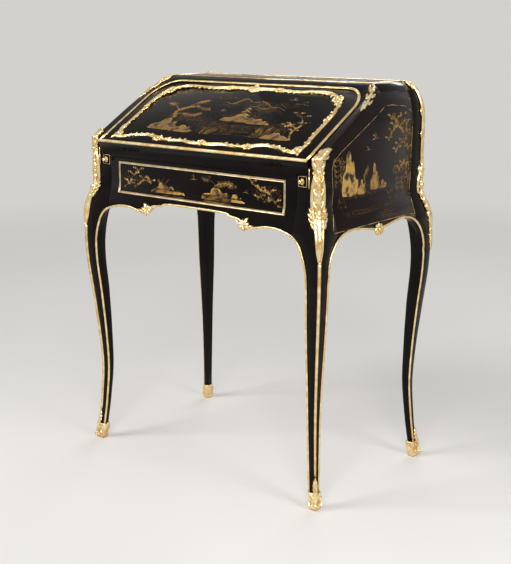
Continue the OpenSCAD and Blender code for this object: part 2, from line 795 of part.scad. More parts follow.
// A bronze shoe: a cup with a turned-out toe that holds the foot's tenon, and a leaf up the ridge.
sabot_leaf_root = 7.6;
sabot_leaf_tip = 1.2;
cup_out = [[0, 11.5], [0.12, 13], [0.33, 13], [0.53, 9.5], [0.67, 10.5], [0.81, 9.5], [1, 9.5]];
cup_in = [[0, -8], [0.33, -9], [0.53, -11], [0.67, -12.5], [0.81, -12], [1, -12.5]];
toe = [for (p = cup_out) [p[0] * cup_h, p[1]]];
heel = [for (p = cup_in) [p[0] * cup_h, p[1]]];
tenon_gap = 0.2;
function cup_ring(z) =
    let (
        o = lookup(z, toe), n = lookup(z, heel), c = (o - n) * 0.22, a = o - c, b = n + c,
        corners = [[o, a], [a, o], [b, o], [n, a], [n, b], [b, n], [a, n], [o, b]]
    )
    [for (q = corners) [hw + q[0], hd + q[1], z]];
module sabot() {
    cx = hw + bow(cup_h) - side_at(cup_h) / 2;
    cy = hd + bow(cup_h) - side_at(cup_h) / 2;
    r = tenon_side / 2 + tenon_gap;
    color(gilt) {
        difference() {
            skin([for (z = column(toe, 0)) cup_ring(z[0])]);
            block([cx - r, cx + r], [cy - r, cy + r], [tenon_z0 - tenon_gap, cup_h + 1]);
        }
        skin([for (z = [for (i = [0 : 4]) cup_h + sabot_leaf * i / 4])
            let (
                k = (cup_h + sabot_leaf - z) / sabot_leaf,
                half = sabot_leaf_tip + (sabot_leaf_root - sabot_leaf_tip) * k,
                w = wrap(half, 0.8 + 2.1 * k)
            )
            ring_at([hw + bow_flat(z), hd + bow_flat(z), z], w, [1, 0])]);
    }
}
module right_front_sabot() mirror([0, 1, 0]) sabot();
module left_front_sabot() mirror([1, 0, 0]) right_front_sabot();
module right_rear_sabot() sabot();
module left_rear_sabot() mirror([1, 0, 0]) sabot();

// Hinges: the fixed leaf has the two outer knuckles and holds the pin, the moving leaf the middle one.
third = hinge_w / 3;
knuckle_gap = 0.2;
pin_fit = 0.05;
module turned_leaf(inside) {
    mine = inside ? [[-third / 2, third / 2]] : [[-hinge_w / 2, -third / 2], [third / 2, hinge_w / 2]];
    others = inside ? [[-hinge_w / 2, -third / 2], [third / 2, hinge_w / 2]] : [[-third / 2, third / 2]];
    difference() {
        union() {
            children();
            for (k = mine) barrel(knuckle_r, k[0], k[1]);
        }
        for (k = others) barrel(knuckle_r + hinge_clear, k[0] - knuckle_gap, k[1] + knuckle_gap);
        barrel(pin_r + (inside ? pin_fit : 0), -hinge_w, hinge_w);
    }
}
module hinge_fixed_leaves() {
    color(gilt) at_hinges() turned_leaf(false) block([-hinge_w / 2, hinge_w / 2], [0, leaf_l], [-leaf_t, 0]);
}
module hinge_moving_leaves() {
    color(gilt) at_hinges() rotate([slope, 0, 0])
        turned_leaf(true) block([-hinge_w / 2, hinge_w / 2], [0, leaf_l], [0, leaf_t]);
}
module hinge_pins() {
    color(steel) at_hinges() barrel(pin_r, -hinge_w / 2, hinge_w / 2);
}

// The fall: a board with the leather let into its inner face and the lock at its upper edge.
lock_hw = 30;
lock_l = 38;
lock_t = 10;
lock_wall = 1.5;
hide_hw = 240;
hide_u0 = 38;
hide_t = 0.8;
hide_end = 12;
key_w = 2.4;
key_h = 8;
key_drop = 26;
key_u = fall_l - key_drop;
module lock_space() {
    block([-lock_hw, lock_hw], [fall_l - lock_l, fall_l], [0, lock_t]);
}
module hide_space() {
    block([-hide_hw, hide_hw], [hide_u0, fall_l - lock_l - hide_end], [0, hide_t]);
}
module keyhole() {
    block([-key_w / 2, key_w / 2], [key_u - key_h / 2, key_u + key_h / 2], [lock_t - 1, fall_t + far]);
}
module fall_panel() {
    color(lacquer) difference() {
        on_fall() difference() {
            linear_extrude(fall_t) polygon(whole(fall_outline(0, 0)));
            lock_space();
            hide_space();
            keyhole();
        }
        at_hinges() rotate([slope, 0, 0]) {
            barrel(knuckle_r + hinge_clear, -hinge_w / 2 - hinge_clear, hinge_w / 2 + hinge_clear);
            block([-hinge_w / 2, hinge_w / 2], [-1, leaf_l], [-1, leaf_t]);
        }
    }
}
module fall_leather() {
    color(leather) on_fall() hide_space();
}
bolt_clear = 0.2;
bolt_back = 0.3;
bolt_l = 24;
module bolt_way() {
    block(
        [-bolt_hw - bolt_clear, bolt_hw + bolt_clear],
        [fall_l - bolt_l - bolt_travel - 1, fall_l + 1],
        [bolt_w0 - bolt_clear, bolt_w0 + bolt_h + bolt_clear]
    );
}
module lock_case() {
    color(gilt) on_fall() difference() {
        lock_space();
        bolt_way();
    }
}
module lock_bolt() {
    color(steel) on_fall()
        block([-bolt_hw, bolt_hw], [fall_l - bolt_l, fall_l - bolt_back], [bolt_w0, bolt_w0 + bolt_h]);
}
bead_inset = 0.3;
perimeter_w = 6.5;
perimeter_out = 2.2;
module fall_bead() {
    outer = whole(fall_outline(-bead_inset, moulding_l));
    inner = whole(fall_outline(-bead_inset - perimeter_w, moulding_l - 1));
    color(gilt) on_fall() translate([0, 0, fall_t]) linear_extrude(perimeter_out) difference() {
        polygon(outer);
        polygon(inner);
    }
}
moulding_l = 8;
moulding_out = 3;
module fall_moulding() {
    color(gilt) on_fall() through_x(-fall_hw, fall_hw) polygon([
        [0.3, fall_t], [0.3, fall_t + moulding_out * 0.5], [1.8, fall_t + moulding_out * 0.93],
        [moulding_l / 2, fall_t + moulding_out], [moulding_l - 1.8, fall_t + moulding_out * 0.9],
        [moulding_l, fall_t + moulding_out * 0.6], [moulding_l, fall_t]
    ]);
}
// Half of the border's middle line: distance in from the fall's edge, distance up the slope, or
// where that is negative, distance down from the fall's head.
border_line = [
    [fall_hw + 1, 27], [238, 29], [195, 26], [168, 28], [145, 35], [125, 38], [90, 33], [60, 25],
    [38, 26], [36, 60], [36, 110], [36, -101], [45, -64], [68, -36], [106, -24], [176, -27],
    [236, -23], [fall_hw + 1, -25]
];
function on_slope(q) = [fall_hw - q[0], q[1] < 0 ? fall_l + q[1] : q[1]];
border_half = through([for (q = border_line) on_slope(q)], line_steps);
// Clasps on half of the border: place in the same way, width, height, lobes, turn.
clasp_table = [
    [168, 28, 30, 18, 5, 0], [38, 140, 12, 34, 3, 0], [42, 32, 22, 22, 5, 0],
    [58, -46, 14, 40, 5, -42], [225, -26, 30, 15, 3, 0]
];
foot_clasp = [fall_hw, 27, 26, 18, 5, 0];
module border_clasp(c) {
    translate(on_slope(c)) rotate(c[5]) lobed(c[2], c[3], c[4]);
}
module border_clasp_places() {
    both_sides() for (c = clasp_table) border_clasp(c);
    border_clasp(foot_clasp);
}
escutcheon_w = 40;
escutcheon_h = 22;
module escutcheon_place() {
    translate([0, key_u]) lobed(escutcheon_w, escutcheon_h, 6);
}
module fall_border() {
    color(gilt) on_fall() translate([0, 0, fall_t]) linear_extrude(border_out) difference() {
        both_sides() polygon(band(border_half, -border_w / 2, border_w / 2));
        border_clasp_places();
        escutcheon_place();
    }
}
clasp_more = 1.3;
module border_clasps() {
    color(gilt) on_fall() translate([0, 0, fall_t]) linear_extrude(border_out + clasp_more)
        difference() {
            border_clasp_places();
            escutcheon_place();
        }
}
module key_escutcheon() {
    color(gilt) on_fall() difference() {
        translate([0, 0, fall_t]) linear_extrude(border_out + clasp_more) escutcheon_place();
        keyhole();
    }
}

// A loper, its baize pad and its pull.
module loper() {
    color(walnut) block([loper_x0, loper_x1], [-hd, -hd + loper_l], [loper_z0, loper_z1]);
}
pad_side = 2.5;
module loper_pad() {
    color(baize) block(
        [loper_x0 + pad_side, loper_x1 - pad_side],
        [-hd + pad_set, -hd + pad_set + pad_l],
        [loper_z1, loper_z1 + pad_t]
    );
}
pull_w = 14;
pull_h = 19;
pull_out = 11;
module loper_pull() {
    x = (loper_x0 + loper_x1) / 2;
    z = loper_z1 - pull_h / 2 - 0.5;
    color(gilt) translate([x, -hd, z]) rotate([90, 0, 0]) {
        linear_extrude(2) lobed(pull_w, pull_h, 4);
        rotate_extrude() polygon([
            [0, 1], [3, 1], [2.4, 4], [3.4, 6], [5.2, 7.5], [5.4, 9], [4.2, 10.4], [0, pull_out]
        ]);
    }
}
module right_loper() loper();
module left_loper() mirror([1, 0, 0]) loper();
module right_loper_pad() loper_pad();
module left_loper_pad() mirror([1, 0, 0]) loper_pad();
module right_loper_pull() loper_pull();
module left_loper_pull() mirror([1, 0, 0]) loper_pull();

// Small drawers of the nest, and their turned knobs.
nest_gap = 0.5;
nest_front_t = 8;
nest_back = post_y - nest_back_gap;
module nest_drawer(x0, x1) {
    z0 = write_z + nest_gap / 2;
    z1 = nest_z - nest_gap;
    color(walnut) difference() {
        block([x0 + nest_gap, x1 - nest_gap], [nest_front, nest_back], [z0, z1]);
        block(
            [x0 + nest_gap + nest_wall, x1 - nest_gap - nest_wall],
            [nest_front + nest_front_t, nest_back - nest_wall],
            [z0 + nest_wall - 1, z1 + 1]
        );
    }
}
knob_half = [
    [0, 0], [4.5, 0], [4.5, 1], [2.2, 2], [2.2, 4.5], [5, 6.5], [5.6, 8.5], [4, 10.5], [0, 11.2]
];
module nest_knob(x) {
    color(gilt) translate([x, nest_front, write_z + nest_h / 2]) rotate([90, 0, 0])
        rotate_extrude() polygon(knob_half);
}
nest_x0 = mid_hw + nest_t;
module left_nest_drawer() nest_drawer(-inner_x, -nest_x0);
module middle_nest_drawer() nest_drawer(-mid_hw, mid_hw);
module right_nest_drawer() nest_drawer(nest_x0, inner_x);
module left_nest_knob() nest_knob(-(inner_x + nest_x0) / 2);
module middle_nest_knob() nest_knob(0);
module right_nest_knob() nest_knob((inner_x + nest_x0) / 2);

right_front_leg();
left_front_leg();
right_rear_leg();
left_rear_leg();
right_side_panel();
left_side_panel();
back_panel();
top_board();
head_rail();
front_rail();
writing_board();
dust_board();
drawer_runners();
loper_guides();
nest_shelf();
nest_uprights();
right_front_mount();
left_front_mount();
right_rear_mount();
left_rear_mount();
head_mounts();
ridge_strips();
right_front_sabot();
left_front_sabot();
right_rear_sabot();
left_rear_sabot();
front_beads();
side_beads();
side_clasps();
top_bead();
strike_plate();
hinge_fixed_leaves();
hinge_pins();
fall_panel();
fall_leather();
fall_bead();
fall_moulding();
fall_border();
border_clasps();
key_escutcheon();
hinge_moving_leaves();
lock_case();
lock_bolt();
right_loper();
right_loper_pad();
right_loper_pull();
left_loper();
left_loper_pad();
left_loper_pull();
frieze_front();
frieze_box();
frieze_frame();
frieze_bead();
frieze_clasps();
left_nest_drawer();
left_nest_knob();
middle_nest_drawer();
middle_nest_knob();
right_nest_drawer();
right_nest_knob();
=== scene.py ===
import json
import math
import random

import bmesh
import bpy
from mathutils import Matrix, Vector

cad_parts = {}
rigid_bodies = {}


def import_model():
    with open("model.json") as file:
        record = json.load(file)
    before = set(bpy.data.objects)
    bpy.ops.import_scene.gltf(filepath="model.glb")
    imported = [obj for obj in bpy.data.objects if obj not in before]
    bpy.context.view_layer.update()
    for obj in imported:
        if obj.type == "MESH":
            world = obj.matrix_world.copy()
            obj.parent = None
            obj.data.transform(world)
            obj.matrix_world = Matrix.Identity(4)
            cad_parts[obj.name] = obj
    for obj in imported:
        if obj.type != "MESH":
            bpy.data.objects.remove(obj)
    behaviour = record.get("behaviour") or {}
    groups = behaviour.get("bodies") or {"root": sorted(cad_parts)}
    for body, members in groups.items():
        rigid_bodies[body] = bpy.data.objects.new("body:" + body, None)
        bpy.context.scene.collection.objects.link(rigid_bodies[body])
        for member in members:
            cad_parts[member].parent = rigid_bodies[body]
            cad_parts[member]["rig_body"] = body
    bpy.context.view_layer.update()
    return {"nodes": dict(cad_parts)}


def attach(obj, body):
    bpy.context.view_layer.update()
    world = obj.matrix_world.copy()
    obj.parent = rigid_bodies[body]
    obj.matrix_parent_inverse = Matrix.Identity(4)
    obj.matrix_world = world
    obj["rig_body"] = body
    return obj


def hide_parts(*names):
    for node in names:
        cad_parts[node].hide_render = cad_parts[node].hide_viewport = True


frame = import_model()


# Camera: the closed desk is seen from its right front corner, standing a little above the flat top.
# Its place and lens come from the perspective of the four feet and the corners of the case.
def new_object(name, data):
    made = bpy.data.objects.new(name, data)
    bpy.context.scene.collection.objects.link(made)
    return made


camera = new_object("camera", bpy.data.cameras.new("camera"))
camera.location = (1.578, -1.8905, 0.9805)
camera.rotation_euler = (math.pi / 2 - 0.233, 0, 0.6946)
camera.data.sensor_width, camera.data.lens = 36, 70.9
camera.data.clip_start, camera.data.clip_end = 0.05, 100
bpy.context.scene.camera = camera
bpy.context.scene.view_settings.view_transform = "Standard"


# Studio: a plain pale floor, a broad soft lamp above the front left, a lower one on the right and
# a strip behind that draws the edges of the bronzes.
def linear(colour):
    parts = [int(colour[i : i + 2], 16) / 255 for i in (1, 3, 5)]
    return [c / 12.92 if c < 0.04045 else ((c + 0.055) / 1.055) ** 2.4 for c in parts] + [1]


def socket_of(node, name):
    if isinstance(name, int):
        return node.inputs[name]
    return next(s for s in node.inputs if s.name == name and s.enabled)


def feed(tree, node, links):
    for name, source in links.items():
        if hasattr(source, "outputs"):
            source = next(o for o in source.outputs if o.enabled)
        tree.links.new(source, socket_of(node, name))


# A kind without "Node" in it is a shader node.
def add_node(tree, kind, values=None, links=None, **settings):
    made = tree.nodes.new(kind if "Node" in kind else "ShaderNode" + kind)
    for name, value in settings.items():
        setattr(made, name, value)
    for name, value in (values or {}).items():
        socket_of(made, name).default_value = value
    feed(tree, made, links or {})
    return made


def new_material(name, **constants):
    material = bpy.data.materials.new(name)
    material.use_nodes = True
    tree = material.node_tree
    shader = tree.nodes["Principled BSDF"]
    for socket, value in constants.items():
        shader.inputs[socket.replace("_", " ")].default_value = value
    return material, tree, shader, add_node(tree, "TexCoord").outputs["Object"]


def new_piece(name, verts, faces, material):
    mesh = bpy.data.meshes.new(name)
    mesh.from_pydata([tuple(v) for v in verts], [], faces)
    mesh.polygons.foreach_set("use_smooth", [True] * len(mesh.polygons))
    mesh.materials.append(material)
    return new_object(name, mesh)


# What is seen straight on or in a gloss, and isn't light that falls on the desk.
def seen_directly(tree):
    ray = add_node(tree, "LightPath").outputs
    seen = {0: ray["Is Camera Ray"], 1: ray["Is Glossy Ray"]}
    seen = {0: add_node(tree, "Math", None, seen), 1: ray["Is Transmission Ray"]}
    return add_node(tree, "Math", None, seen, use_clamp=True)


# Matt paper has no gloss, so it shows soft shadows alone. Far from the desk it takes the colour of
# the backdrop, so that no horizon shows.
backdrop = "#d3d1cd"
paper, tree, shader, place = new_material(
    "matt_paper_floor", Base_Color=linear("#dedcd8"), Roughness=0.75, Specular_IOR_Level=0.2
)
metres_off = add_node(tree, "VectorMath", None, {0: place}, operation="LENGTH")
reach = {"Value": metres_off.outputs["Value"]}
limits = {"From Min": 1.1, "From Max": 4}
fade = add_node(tree, "MapRange", limits, reach, interpolation_type="SMOOTHSTEP")
share = {0: fade, 1: seen_directly(tree)}
share = add_node(tree, "Math", None, share, operation="MULTIPLY")
far = add_node(tree, "Emission", {"Color": linear(backdrop), "Strength": 1})
mixed = add_node(tree, "MixShader", None, {0: share, 1: shader, 2: far})
feed(tree, tree.nodes["Material Output"], {"Surface": mixed})
round_square = ((-1, -1), (1, -1), (1, 1), (-1, 1))
floor = new_piece("floor", [(40 * a, 40 * b, 0) for a, b in round_square], [(0, 1, 2, 3)], paper)

world = bpy.data.worlds.new("studio_air")
world.use_nodes = True
air = world.node_tree
lit = air.nodes["Background"]
lit.inputs["Color"].default_value = linear("#c4c3c5")
lit.inputs["Strength"].default_value = 0.6
seen = add_node(air, "Background", {"Color": linear(backdrop), "Strength": 1})
mixed = add_node(air, "MixShader", None, {0: seen_directly(air), 1: lit, 2: seen})
feed(air, air.nodes["World Output"], {"Surface": mixed})
bpy.context.scene.world = world

lamps = [
    ("front_left_softbox", (-1.6, -2.4, 2.9), (0, 0, 0.55), 1.5, 1.1, 66),
    ("camera_side_softbox", (1.5, -2.1, 2.1), (0.1, 0, 0.55), 1.4, 1.0, 46),
    ("right_softbox", (2.6, -0.3, 1.9), (0.2, 0, 0.6), 0.9, 1.4, 26),
    ("rear_strip", (-0.9, 2.4, 2.3), (0, 0, 0.7), 1.8, 0.4, 26),
]
for name, place, aim, width, height, power in lamps:
    data = bpy.data.lights.new(name, "AREA")
    data.shape, data.size, data.size_y, data.energy = "RECTANGLE", width, height, power
    lamp = new_object(name, data)
    lamp.location = place
    lamp.rotation_euler = (Vector(aim) - Vector(place)).to_track_quat("-Z", "Y").to_euler()


# Case: oak boards under black lacquer, laid in many thin coats and rubbed with fine powder, so the
# gloss is deep, a little uneven and warm where the light comes through the top coats. The sides
# have aged to a brown black.
def clouded(tree, source, low, high, first, second):
    share = add_node(tree, "MapRange", {"From Min": low, "From Max": high}, {"Value": source})
    tints = {"A": linear(first), "B": linear(second)}
    return add_node(tree, "Mix", tints, {"Factor": share}, data_type="RGBA")


# The clouds of tint are about 110 mm wide and the waves of the hand-laid coats 40 mm. The rubbing
# marks are 6 mm, coarser than the real scratches, which would not show.
def lacquer_of(name, deep, warm):
    sheen = {"Specular_IOR_Level": 0.1, "Coat_Weight": 0.03, "Coat_Roughness": 0.05}
    material, tree, shader, place = new_material(name, **sheen)
    clouds = add_node(tree, "TexNoise", {"Scale": 9, "Detail": 4}, {"Vector": place})
    colour = clouded(tree, clouds, 0.35, 0.75, deep, warm)
    rubbing = add_node(tree, "TexNoise", {"Scale": 160, "Detail": 5}, {"Vector": place})
    limits = {"From Min": 0.3, "From Max": 0.8, "To Min": 0.13, "To Max": 0.24}
    rough = add_node(tree, "MapRange", limits, {"Value": rubbing})
    waves = add_node(tree, "TexNoise", {"Scale": 26, "Detail": 2}, {"Vector": place})
    surface = add_node(tree, "Bump", {"Distance": 0.00012}, {"Height": waves})
    feed(tree, shader, {"Base Color": colour, "Roughness": rough, "Normal": surface})
    return material


black_lacquer = lacquer_of("rubbed_black_lacquer", "#070504", "#100a08")
brown_lacquer = lacquer_of("aubergine_black_lacquer", "#0d0708", "#1c0f0e")
# Faces that look forward and lie further forward than this, in metres, are in the case's front.
case_front = -0.186


# A CAD board with its edges softened. Its faces in the case's front can have a coat of their own.
def finished(node, material, edge_mm, front=None):
    mesh = frame["nodes"][node].data.copy()
    merged = bmesh.new()
    merged.from_mesh(mesh)
    bmesh.ops.remove_doubles(merged, verts=merged.verts, dist=2e-6)
    flat = {"angle_limit": math.radians(0.4), "verts": merged.verts, "edges": merged.edges}
    bmesh.ops.dissolve_limit(merged, **flat)
    merged.normal_update()
    for face in merged.faces:
        face.smooth = True
        forward = face.normal.y < -0.9 and face.calc_center_median().y < case_front
        face.material_index = int(bool(front) and forward)
    mesh.materials.clear()
    for coat in filter(None, (material, front)):
        mesh.materials.append(coat)
    merged.to_mesh(mesh)
    merged.free()
    made = new_object(node + "_made", mesh)
    soft = made.modifiers.new("softened_edges", "BEVEL")
    soft.width, soft.segments = edge_mm / 1000, 2
    soft.limit_method, soft.angle_limit = "ANGLE", math.radians(32)
    soft.harden_normals = True
    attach(made, frame["nodes"][node]["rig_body"])
    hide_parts(node)


for side in ("right", "left"):
    finished(side + "_front_leg", black_lacquer, 0.7)
    finished(side + "_rear_leg", black_lacquer, 0.7)
    finished(side + "_side_panel", brown_lacquer, 0.6)
for board in ("back_panel", "top_board", "head_rail", "front_rail"):
    finished(board, black_lacquer, 0.6)


# Inner boards: walnut and tulipwood, planed and oiled, with the grain along each board, so bands
# and fine pores show under a low gloss. The walnut's front edges are lacquered with the case. The
# bands are 17 mm wide and the pores 1.8 mm, coarser than real ones, both drawn out along the grain.
def veneer_of(name, dark, light, stretch, gloss):
    material, tree, shader, place = new_material(name, Coat_Weight=0.15, Coat_Roughness=0.2)
    scale = {"Scale": [60 / s for s in stretch]}
    bands = add_node(tree, "Mapping", scale, {"Vector": place})
    bands = add_node(tree, "TexNoise", {"Scale": 1, "Detail": 4}, {"Vector": bands})
    scale = {"Scale": [550 / s for s in stretch]}
    pores = add_node(tree, "Mapping", scale, {"Vector": place})
    pores = add_node(tree, "TexNoise", {"Scale": 1, "Detail": 2}, {"Vector": pores})
    figure = add_node(tree, "Mix", {"Factor": 0.35}, {"A": bands, "B": pores})
    colour = clouded(tree, figure, 0.34, 0.66, dark, light)
    limits = {"To Min": gloss + 0.14, "To Max": gloss}
    rough = add_node(tree, "MapRange", limits, {"Value": pores})
    depth = {"Strength": 0.5, "Distance": 0.00005}
    surface = add_node(tree, "Bump", depth, {"Height": pores})
    feed(tree, shader, {"Base Color": colour, "Roughness": rough, "Normal": surface})
    return material


walnut_long = veneer_of("oiled_walnut_along_x", "#4a2a15", "#8a5a32", (14, 1, 1), 0.36)
walnut_deep = veneer_of("oiled_walnut_along_y", "#472813", "#7f522d", (1, 14, 1), 0.4)
tulipwood = veneer_of("polished_tulipwood", "#7a3b22", "#c98a55", (14, 1, 1), 0.25)
for board in ("writing_board", "dust_board"):
    finished(board, walnut_long, 0.4, black_lacquer)
for board in ("drawer_runners", "loper_guides"):
    finished(board, walnut_deep, 0.4, black_lacquer)
for board in ("nest_shelf", "nest_uprights"):
    finished(board, tulipwood, 0.5)


# Fillets of bronze, cast in lengths, filed half round and pinned along the legs and aprons. Mercury
# gilding leaves them bright and warm on top, and brown in the hollows where dirt and wax gather.
# The patches of wear are 14 mm wide and the marks of the matting punch 1.1 mm.
def bronze_of(name, deep, warm, bright, rough):
    material, tree, shader, place = new_material(name, Metallic=1)
    hollow = add_node(tree, "AmbientOcclusion", {"Distance": 0.0035}, samples=6)
    limits = {"From Min": 0.2, "From Max": 0.68}
    open_share = add_node(tree, "MapRange", limits, {"Value": hollow.outputs["AO"]})
    patches = add_node(tree, "TexNoise", {"Scale": 70, "Detail": 4}, {"Vector": place})
    layers = {"Factor": open_share, "B": clouded(tree, patches, 0.35, 0.65, warm, bright)}
    colour = add_node(tree, "Mix", {"A": linear(deep)}, layers, data_type="RGBA")
    limits = {"To Min": rough + 0.3, "To Max": rough}
    matt = add_node(tree, "MapRange", limits, {"Value": open_share})
    punching = add_node(tree, "TexNoise", {"Scale": 900, "Detail": 2}, {"Vector": place})
    depth = {"Strength": 0.35, "Distance": 0.0001}
    surface = add_node(tree, "Bump", depth, {"Height": punching})
    feed(tree, shader, {"Base Color": colour, "Roughness": matt, "Normal": surface})
    return material


gilt_bronze = bronze_of("fire_gilt_bronze", "#6a4620", "#e6bd78", "#ffedbe", 0.27)
# Brass that was lacquered and has worn thin is paler and duller than the gilding.
pale_brass = bronze_of("pale_worn_brass", "#5a4a30", "#b9a078", "#dccba8", 0.3)
mm = 0.001
rightward, backward = Vector((1, 0, 0)), Vector((0, 1, 0))
half_w, half_d, leg_top, desk_top = 317, 187, 628, 850
# By height: how far a leg bows out and how wide each of its faces is. By the way in from the
# corner: how far the lower edge of an apron lies under the top of the legs.
leg_bow = [
    (0, 10), (47, 4.5), (97, 0.4), (180, -3.2), (262, 0.4), (355, 8.14), (442, 15.93), (506, 17.7),
    (564, 15.22), (598, 6.73), (615, 1.2), (628, 0), (640, 0),
]  # fmt: skip
leg_side = [
    (0, 14), (50, 14), (97, 14.9), (180, 17), (257, 20), (308, 23), (377, 26.9), (442, 29),
    (490, 31.1), (540, 35.9), (600, 44), (640, 44),
]  # fmt: skip
front_apron = [
    (13.4, -138), (17.5, -118), (24, -98), (33, -79), (48, -64), (69, -56), (95, -51), (124, -51),
    (154, -56.5), (177, -56), (191, -44), (217, -40), (231, -35.5), (272, -34), (317, -34),
]  # fmt: skip
side_apron = [
    (15, -138), (15, -123), (24, -98), (42, -76), (67, -64), (102, -60), (147, -66), (187, -71),
]  # fmt: skip


def read_table(table, x):
    k = max(i for i in range(len(table) - 1) if x >= table[i][0] or i == 0)

    def tangent(i):
        a, b = table[max(i - 1, 0)], table[min(i + 1, len(table) - 1)]
        return (b[1] - a[1]) / (b[0] - a[0])

    a, b = table[k], table[k + 1]
    h = b[0] - a[0]
    u = min(1, (x - a[0]) / h)
    level = (2 * u**3 - 3 * u**2 + 1) * a[1] + (u**3 - 2 * u**2 + u) * h * tangent(k)
    return level + (3 * u**2 - 2 * u**3) * b[1] + (u**3 - u**2) * h * tangent(k + 1)


def smooth_line(points, steps):
    points = [Vector(p) for p in points]
    made = []
    for k in range(len(points) - 1):
        a, b = points[max(k - 1, 0)], points[k]
        c, d = points[k + 1], points[min(k + 2, len(points) - 1)]
        for i in range(steps):
            u = i / steps
            bent = (2 * a - 5 * b + 4 * c - d) * u**2 / 2
            made.append(b + (c - a) * u / 2 + bent + (3 * b - a - 3 * c + d) * u**3 / 2)
    return made + [points[-1]]


def bow(z):
    return 0 if z >= leg_top else read_table(leg_bow, z)


# Faces over rows of m points. A row can be a ring, and the last row can meet the first.
def quads(rows, m, ring=True, closed=False):
    made = []
    for i in range(rows if closed else rows - 1):
        k = (i + 1) % rows
        for j in range(m if ring else m - 1):
            l = (j + 1) % m
            made.append((i * m + j, i * m + l, k * m + l, k * m + j))
    return made


def capped(rows, m):
    last = (rows - 1) * m
    return quads(rows, m) + [tuple(range(m)), tuple(range(last, last + m))[::-1]]


# A strip follows points with one outward direction; its section is (aside, out) in mm.
def strip(points, out, section, closed=False):
    n, m = len(points), len(section)
    verts = []
    for i, p in enumerate(points):
        a = points[(i - 1) % n] if closed or i else p
        b = points[(i + 1) % n] if closed or i < n - 1 else p
        aside = (Vector(b) - Vector(a)).cross(out).normalized()
        verts += [(Vector(p) + aside * s + out * h) * mm for s, h in section]
    return verts, quads(n, m, closed=True) if closed else capped(n, m)


def joined(parts):
    verts, faces = [], []
    for v, f in parts:
        faces += [tuple(k + len(verts) for k in face) for face in f]
        verts += v
    return verts, faces


def mirrored(part):
    return [(-v[0], v[1], v[2]) for v in part[0]], part[1]


def mirrored_too(part):
    return joined([part, mirrored(part)])


def fitted(name, part, body, nodes, slot="gilt_bronze", material=gilt_bronze, merge=True):
    made = new_piece(name, *part, material)
    clean = bmesh.new()
    clean.from_mesh(made.data)
    if merge:
        bmesh.ops.remove_doubles(clean, verts=clean.verts, dist=1e-6)
    bmesh.ops.recalc_face_normals(clean, faces=clean.faces)
    clean.to_mesh(made.data)
    clean.free()
    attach(made, body)
    if nodes:
        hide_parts(*nodes)
    return made


bead_foot, bead_wide, bead_out, bead_sink, knee = 36, 5, 2.6, 0.25, 487
seam_x, bar_x = 263.5, 296


# The cosine and sine of evenly spaced turns, of a full circle or a part of one.
def turns_of(count, whole=2 * math.pi):
    return [(math.cos(whole * k / count), math.sin(whole * k / count)) for k in range(count)]


half_circle = turns_of(8, math.pi) + [(-1, 0)]
bead = [
    (bead_wide / 2 * (c - 1), (bead_out + bead_sink) * s**0.8 - bead_sink) for c, s in half_circle
]


def bead_line(half, apron):
    up_leg = range(bead_foot, knee - 3, 12)
    leg = [Vector((half + bow(z) - read_table(leg_side, z), z)) for z in up_leg]
    apron = smooth_line([(half - a, leg_top + b) for a, b in apron], 5)
    return leg + [p for p in apron if p[1] > knee]


# The bead on the drawer is its own length, cut at the seams and at the two clasps of the apron.
front_line = [Vector((x, -half_d - bow(z), z)) for x, z in bead_line(half_w, front_apron)]
leg_part = [p for p in front_line if p.x > seam_x]
drawer_part = [p for p in front_line if p.x < seam_x]
to_seam = (leg_part[-1].x - seam_x) / (leg_part[-1].x - drawer_part[0].x)
meeting = leg_part[-1].lerp(drawer_part[0], to_seam)
leg_part.append(meeting + rightward * 0.1)
drawer_part.insert(0, meeting - rightward * 0.9)
drawer_part += [Vector((-p.x, p.y, p.z)) for p in drawer_part[-2::-1]]
side_line = [Vector((half_w + bow(z), y, z)) for y, z in bead_line(half_d, side_apron)]
side_line = [Vector((p.x, -p.y, p.z)) for p in side_line] + side_line[-2::-1]
bar = [(-1, -0.2), (1, -0.2), (1, 3.2), (0.5, 4), (-0.5, 4), (-1, 3.2)]
leg_beads = [
    strip(leg_part, -backward, bead),
    strip([(bar_x, -half_d, 660.2), (bar_x, -half_d, 686)], -backward, bar),
    strip([(bar_x, -half_d - 0.2, 686), (bar_x, -half_d - 0.2, 699)], -backward, bar),
]
fitted("front_leg_beads", mirrored_too(joined(leg_beads)), "root", ["front_beads"])
fitted("drawer_bead", strip(drawer_part, -backward, bead), "frieze_drawer", ["frieze_bead"])
side_beads = mirrored_too(strip(side_line, rightward, bead))
fitted("side_apron_beads", side_beads, "root", ["side_beads"])


# Corner mounts: cast in one piece from a carved model, chased with acanthus leaves and scrolls, and
# pinned over the corner of the case and the knee of each leg.
def evenly(path, count):
    line = smooth_line(path, 8)
    lengths = [0]
    for a, b in zip(line, line[1:]):
        lengths.append(lengths[-1] + (b - a).length)
    made, k = [], 0
    for i in range(count + 1):
        want = lengths[-1] * i / count
        while k < len(line) - 2 and lengths[k + 1] < want:
            k += 1
        share = (want - lengths[k]) / max(1e-9, lengths[k + 1] - lengths[k])
        made.append(line[k].lerp(line[k + 1], min(1, share)))
    return made


# Points along a path with the way across it and the share of the way, for a leaf or a stem.
def rows_along(path, rows):
    rib = evenly(path, rows)
    for i, p in enumerate(rib):
        run = rib[min(i + 1, rows)] - rib[max(i - 1, 0)]
        yield p, Vector((run[1], -run[0])).normalized(), i / rows


